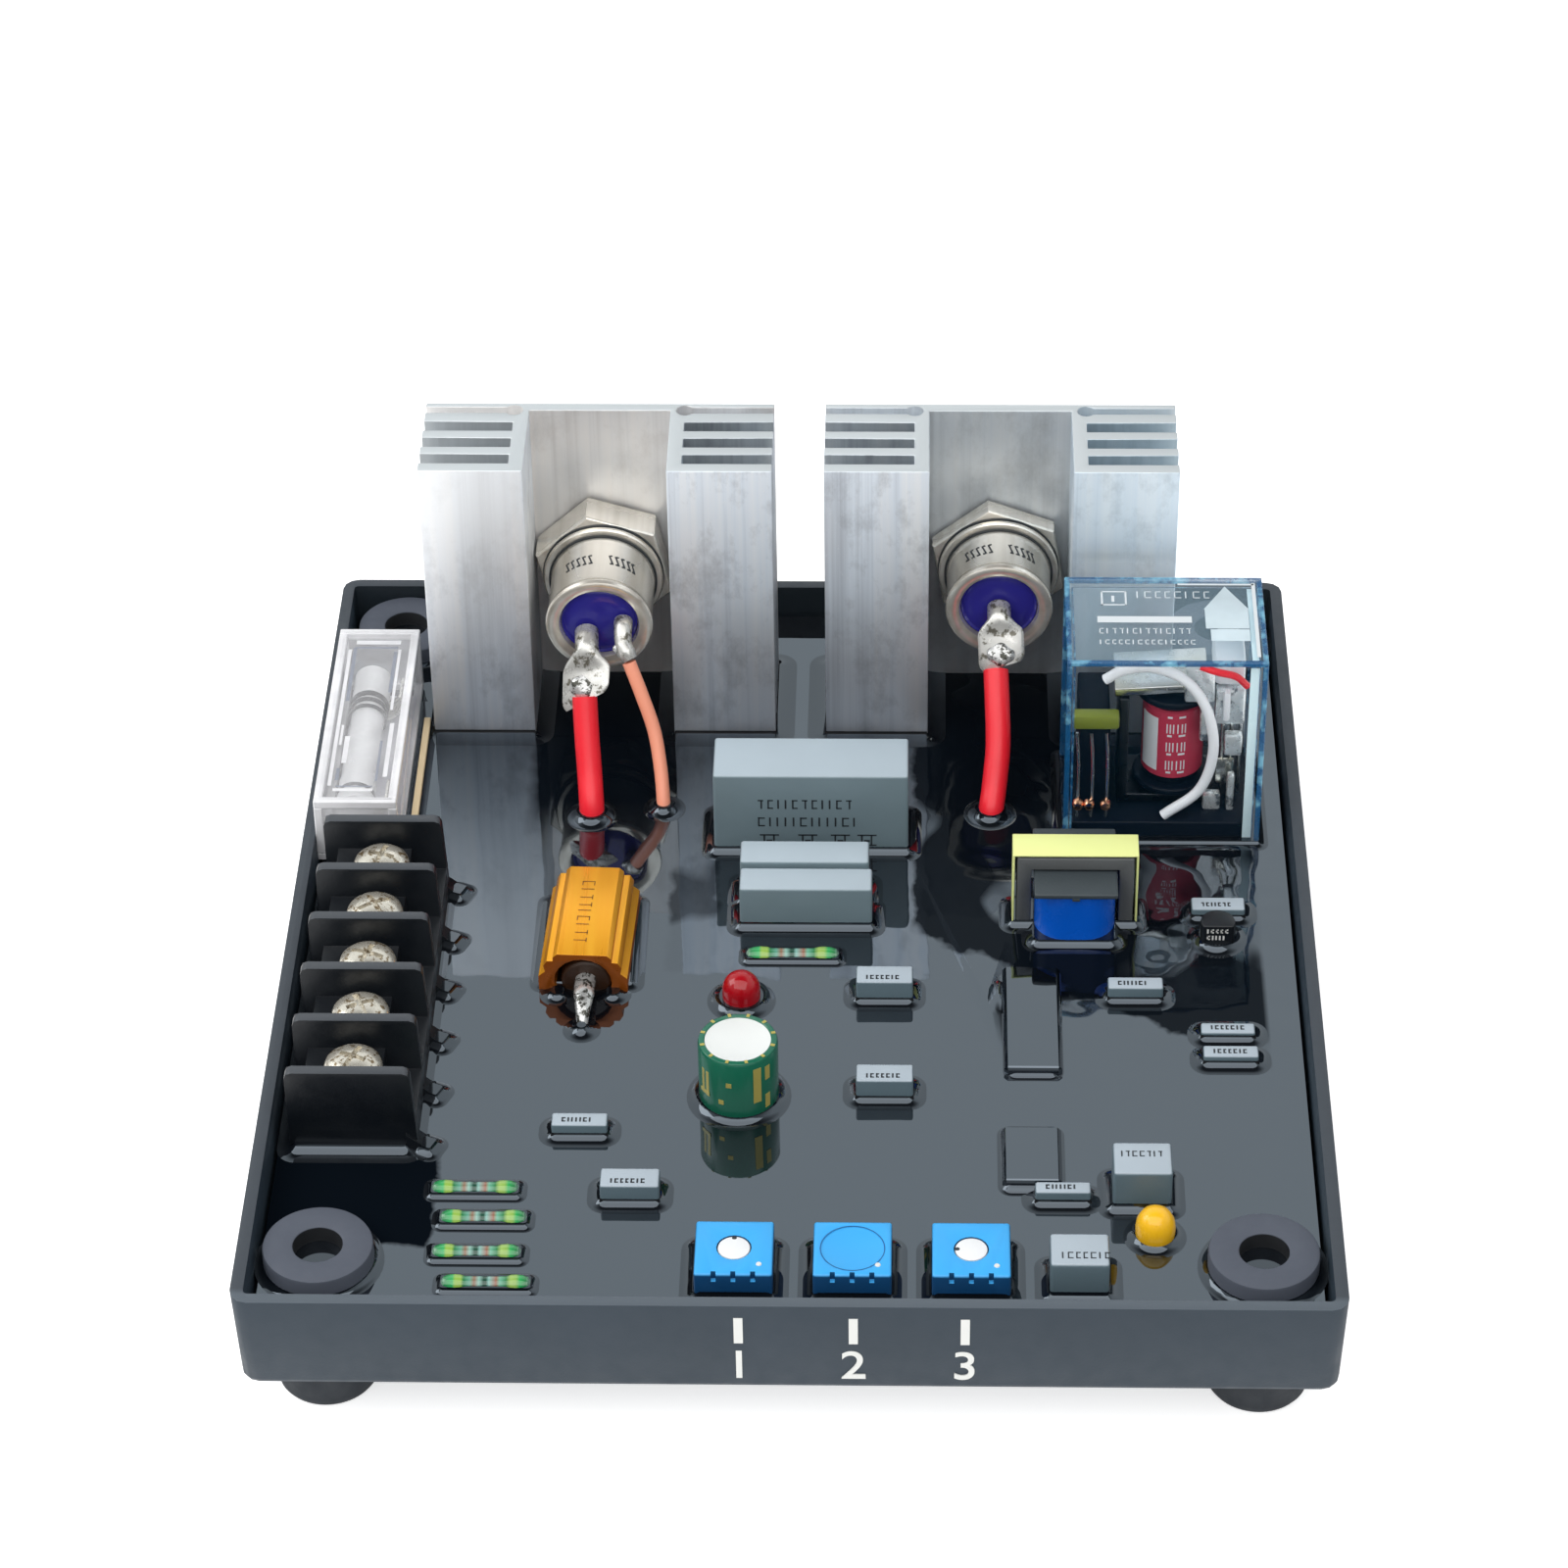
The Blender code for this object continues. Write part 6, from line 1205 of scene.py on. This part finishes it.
def makeCapacitors():
    for i, node in enumerate(boxCapacitors):
        grey = capacitorGrey if i < 3 else filmGrey
        blockPiece(camel(node), [(*boxOf(node), 0.42, 3)], grey, (node,))
    low = boxOf("main_capacitor")[0]
    rows = wordBars(2, 11, 1.5, 0.38, 6.0, 7.6, 0.5) + wordBars(6, 12, 1.5, 0.38, 6.0, 4.6, 0.5)
    for x in (6.2, 11.4, 15.8, 19.4):
        rows += [(x, 1.3, 2.6, 0.22), (x, 3.0, 2.6, 0.22), (x + 0.5, 1.3, 0.22, 1.9),
                 (x + 1.8, 1.3, 0.22, 1.9), (x + 0.9, 2.0, 0.8, 0.3)]
    barPiece("mainCapacitorPrint", rows, (low.x, low.y, resinLevel), darkPrintAndShade, "black_moulding", thick=0.03,
             up=(0, 0, 1))
    bm = bmesh.new()
    for node, words in (("corner_capacitor", (3, 7, 1.1, 0.3, 1.4, 1.2, 0.4)),
                        ("output_capacitor", (4, 7, 1.0, 0.3, 1.0, 3.2, 0.4))):
        low, high = boxOf(node)
        bars(bm, wordBars(*words), (low.x, low.y, high.z))
    for key, (x1, _, y1, _, height) in filmCapacitors.items():
        bars(bm, wordBars(len(key) + int(x1), 7, 0.8, 0.3, 1.3, 0.7, 0.5), (x1, y1, resinLevel + height))
    finishPiece(bm, "smallPrint", darkPrintAndShade)
    boxes = [((x1, y1, seatLevel + 0.1), (x2, y2, resinLevel + height), 0.32, 3)
             for x1, x2, y1, y2, height in filmCapacitors.values()]
    blockPiece("filmCapacitors", boxes, filmGrey)
    centre = centreOf("electrolytic_capacitor")
    place = (centre.x, centre.y, seatLevel)
    spunPiece("electrolyticSleeve", sleeveProfile, 64, place, greenSleeve,
              ("electrolytic_capacitor",))
    spunPiece("electrolyticTop", canTopProfile, 64, place, canTop)
    bm = bmesh.new()
    roundStamps(bm, centre, 5.1, seatLevel, 0.06, sleeveMarks)
    for angle in range(15, 360, 30):
        turn = Matrix.Rotation(math.radians(angle), 4, "Z")
        stamp(bm, Vector(place) + turn @ Vector((4.62, 0, 13.22)), turn, (0.55, 0.4, 0.06))
    finishPiece(bm, "electrolyticMarks", goldPrint)


beadProfile = [(0, 8.0), (1.0, 7.85), (1.8, 7.3), (2.35, 6.3), (2.5, 5.2), (2.45, 4.0), (2.1, 2.4),
               (1.6, 1.0), (1.0, 0.1), (0, 0)]


def makeSmallParts():
    centre = centreOf("indicator_led")
    angles = [math.radians(a) for a in range(75, -15, -15)]
    dome = [(2.5 * math.cos(a), 5.6 + 2.5 * math.sin(a)) for a in angles]
    spunPiece("indicatorLed", [(0, 8.1), *dome, (2.52, 1.1), (2.9, 1.0), (2.9, 0.0), (0, 0)], 48,
              (centre.x, centre.y, seatLevel), redLens, ("indicator_led",))
    centre = centreOf("bead_capacitor")
    spunPiece("beadCapacitor", beadProfile, 40, (centre.x, centre.y, seatLevel), beadYellow,
              ("bead_capacitor",), angle=80)
    soften("transistor", 0.18, blackMoulding, 50, name="transistorBody")
    low, high = boxOf("transistor")
    rows = wordBars(3, 5, 0.7, 0.35, 0.6, -1.2, 0.5) + wordBars(6, 5, 0.7, 0.35, 0.6, -2.3, 0.5)
    place = (low.x + 0.2, low.y, high.z)
    barPiece("transistorPrint", rows, place, printWhite, "rotor_white", thick=0.03, up=(0, 0, 1))
    for name, (x, y, length) in axialResistors.items():
        half = length / 2
        shape = [(0, half), (0.55, half - 0.05), (0.95, half - 0.35), (1.18, half * 0.82),
                 (1.25, half * 0.68), (1.2, half * 0.56), (1.02, half * 0.44), (1.0, 0)]
        shape += [(r, -z) for r, z in reversed(shape[:-1])]
        piece = spunPiece("axialResistor" + name.title(), shape, 28, (x, y, resinLevel + 0.2), greenResistor,
                          axis="X")
        share = piece.data.attributes.new("along", "FLOAT", "POINT")
        share.data.foreach_set("value", [min(1.0, max(0.0, (v.co.x / mm - x + half) / length))
                                         for v in piece.data.vertices])
    bm = copyNode("circuit_board")
    bmesh.ops.bisect_plane(bm, geom=[*bm.verts, *bm.edges, *bm.faces], plane_no=(0, 0, 1), clear_outer=True,
                           plane_co=(0, 0, (seatLevel - 0.32) * mm))
    bmesh.ops.contextual_create(bm, geom=[e for e in bm.edges if e.is_boundary])
    finishPiece(bm, "boardPlate", laminate, ("circuit_board",))


# Aluminium-cased resistor
def makeCasedResistor():
    soften("resistor_housing", 0.14, gold, 25)
    x = -27.85
    shape = [(0, 9.1), (2.9, 9.1), (3.2, 8.9), (3.3, 8.6), (3.3, -8.6), (3.2, -8.9), (2.9, -9.1), (0, -9.1)]
    spunPiece("resistorCore", shape, 40, (x, -2.1, seatLevel + 5.0), coreBrownAndShade, ("resistor_core",),
              axis="-Y")
    bm = bmesh.new()
    front = [(x, -10.6, 21.0), (x - 0.1, -12.9, 21.1), (x - 0.1, -15.0, 21.0), (x - 0.15, -17.2, 20.2),
             (x - 0.2, -19.4, 18.2)]
    tube(bm, front, 1.2, 24, 8, None,
         lambda share, _: (1.35 - 0.8 * max(0.0, share - 0.45) / 0.55, 1.05 - 0.5 * share))
    rear = [(x, 6.4, 21.0), (x, 8.6, 21.0), (x, 10.4, 20.4), (x, 11.8, 18.2)]
    tube(bm, rear, 1.0, 20, 8, None, lambda *_: (1.1, 0.5))
    finishPiece(bm, "resistorTags", solder, angle=50)
    turn = Matrix.Rotation(math.radians(-2.5), 3, "Z")
    barPiece("resistorPrint", wordBars(5, 9, 1.7, 0.42, 1.6, -0.9, 0.32), (-28.0, 5.6, 25.12),
             plainFinish("goldShade", (0.22, 0.07, 0.008), 0.5), "gold_anodised",
             right=turn @ Vector((0, -1, 0)), up=turn @ Vector((1, 0, 0)))


# Transformer
def makeTransformer():
    soften("transformer_core", 0.18, ferrite)
    soften("transformer_tape", 0.12, yellowTape)
    low, high = boxOf("transformer_winding")
    middle = (low + high) / 2
    bm = bmesh.new()
    matrix = Matrix.LocRotScale(middle * mm, None, (high - low) * mm)
    made = bmesh.ops.create_cube(bm, size=1.0, matrix=matrix)
    uprights = [e for e in edgesOf(made["verts"]) if abs(e.verts[0].co.z - e.verts[1].co.z) > 0.001]
    bevelEdges(bm, uprights, 4.0, 10)
    finishPiece(bm, "transformerWinding", blueWinding, ("transformer_winding",), angle=40)
    low, high = boxOf("transformer_bobbin")
    blockPiece("transformerBobbin", [
        (low, high, 0.25, 3),
        ((middle.x - 0.5, low.y - 0.02, low.z - 0.35), (middle.x + 0.5, low.y + 0.8, low.z + 0.2), 0.1)],
               bobbinGrey, ("transformer_bobbin",))


makeTray()
makeGrommets()
makeResin()
makeSinks()
makeDevices()
makeRelay()
makeFuse()
makeTerminals()
makeTrimmers()
makeCapacitors()
makeSmallParts()
makeCasedResistor()
makeTransformer()
print("pieces made")


# Floor, light and background
studio = {"world": 0.52, "key": 5.2, "fill": 1.2, "floorSize": 3.0, "floorSeen": (0.64, 0.64, 0.64),
          "floorElse": (0.34, 0.34, 0.34), "aim": (0, 0, 20), "pixels": 1600,
          "walls": ((0.02, 0.1), (0.14, 0.45), (0.3, 0.95), (0.42, 1.0), (0.76, 1.0), (0.88, 0.3),
                    (0.94, 0.06))}


def lamp(name, place, size, energy):
    light = bpy.data.lights.new(name, "AREA")
    light.shape = "RECTANGLE"
    light.size, light.size_y = (s * mm for s in size)
    light.energy = energy
    holder = bpy.data.objects.new(name, light)
    holder.location = Vector(place) * mm
    holder.rotation_euler = (Vector(studio["aim"]) * mm - holder.location).to_track_quat("-Z", "Y").to_euler()
    bpy.context.scene.collection.objects.link(holder)


def makeWorld():
    world = bpy.data.worlds.new("studio")
    world.use_nodes = True
    tree = world.node_tree
    tree.nodes.clear()

    def node(kind, values, **settings):
        made = tree.nodes.new(kind)
        for key, value in settings.items():
            setattr(made, key, value)
        for key, value in values.items():
            if isinstance(value, bpy.types.NodeSocket):
                tree.links.new(value, made.inputs[key])
            else:
                made.inputs[key].default_value = value
        return made.outputs

    path = node("ShaderNodeLightPath", {})
    seen = path["Is Camera Ray"]
    for kind in ("Transmission", "Glossy"):
        seen = node("ShaderNodeMath", {0: seen, 1: path[f"Is {kind} Ray"]}, operation="MAXIMUM")[0]
    # reflections see white walls all round, under a dim ceiling
    way = node("ShaderNodeSeparateXYZ", {0: node("ShaderNodeTexCoord", {})["Generated"]})
    card = node("ShaderNodeValToRGB", {0: way["Z"]})
    ramp = card[0].node.color_ramp.elements
    for place, tone in studio["walls"]:
        ramp.new(place).color = (tone * 0.93, tone * 0.98, tone * 1.0, 1.0)
    ramp[-1].color = (0.06, 0.06, 0.06, 1.0)
    front = node("ShaderNodeMapRange", {0: way["Y"], 1: -0.5, 2: 0.15, 3: 0.42, 4: 1.0})
    shaded = node("ShaderNodeMix", {0: front[0], 6: (0.0, 0.0, 0.0, 1.0), 7: card[0]}, data_type="RGBA")
    white = (1.0, 1.0, 1.0, 1.0)
    glossy = node("ShaderNodeMix", {0: path["Is Glossy Ray"], 6: white, 7: shaded[2]}, data_type="RGBA")
    plain = node("ShaderNodeBackground", {1: studio["world"]})
    bright = node("ShaderNodeBackground", {0: glossy[2], 1: 1.0})
    blend = node("ShaderNodeMixShader", {0: seen, 1: plain[0], 2: bright[0]})
    node("ShaderNodeOutputWorld", {0: blend[0]})
    bpy.context.scene.world = world


def makeStudio():
    makeWorld()
    bm = bmesh.new()
    bmesh.ops.create_grid(bm, x_segments=1, y_segments=1, size=studio["floorSize"])
    mesh = bpy.data.meshes.new("floor")
    bm.to_mesh(mesh)
    bm.free()
    floor = bpy.data.objects.new("floor", mesh)
    finish = Finish("floor", (0.94, 0.94, 0.94), 0.9)
    direct = finish.node("ShaderNodeLightPath", output="Is Camera Ray")
    finish.put("Emission Color", finish.mix(direct, studio["floorElse"], studio["floorSeen"]))
    finish.put("Emission Strength", 1.0)
    mesh.materials.append(finish.material)
    bpy.context.scene.collection.objects.link(floor)
    lamp("key", (-60, -360, 660), (1150, 760), studio["key"])
    lamp("fill", (-520, 60, 420), (360, 360), studio["fill"])
    scene = bpy.context.scene
    scene.render.resolution_x = scene.render.resolution_y = studio["pixels"]
    scene.view_settings.view_transform = "Standard"


makeStudio()
print("scene ready")
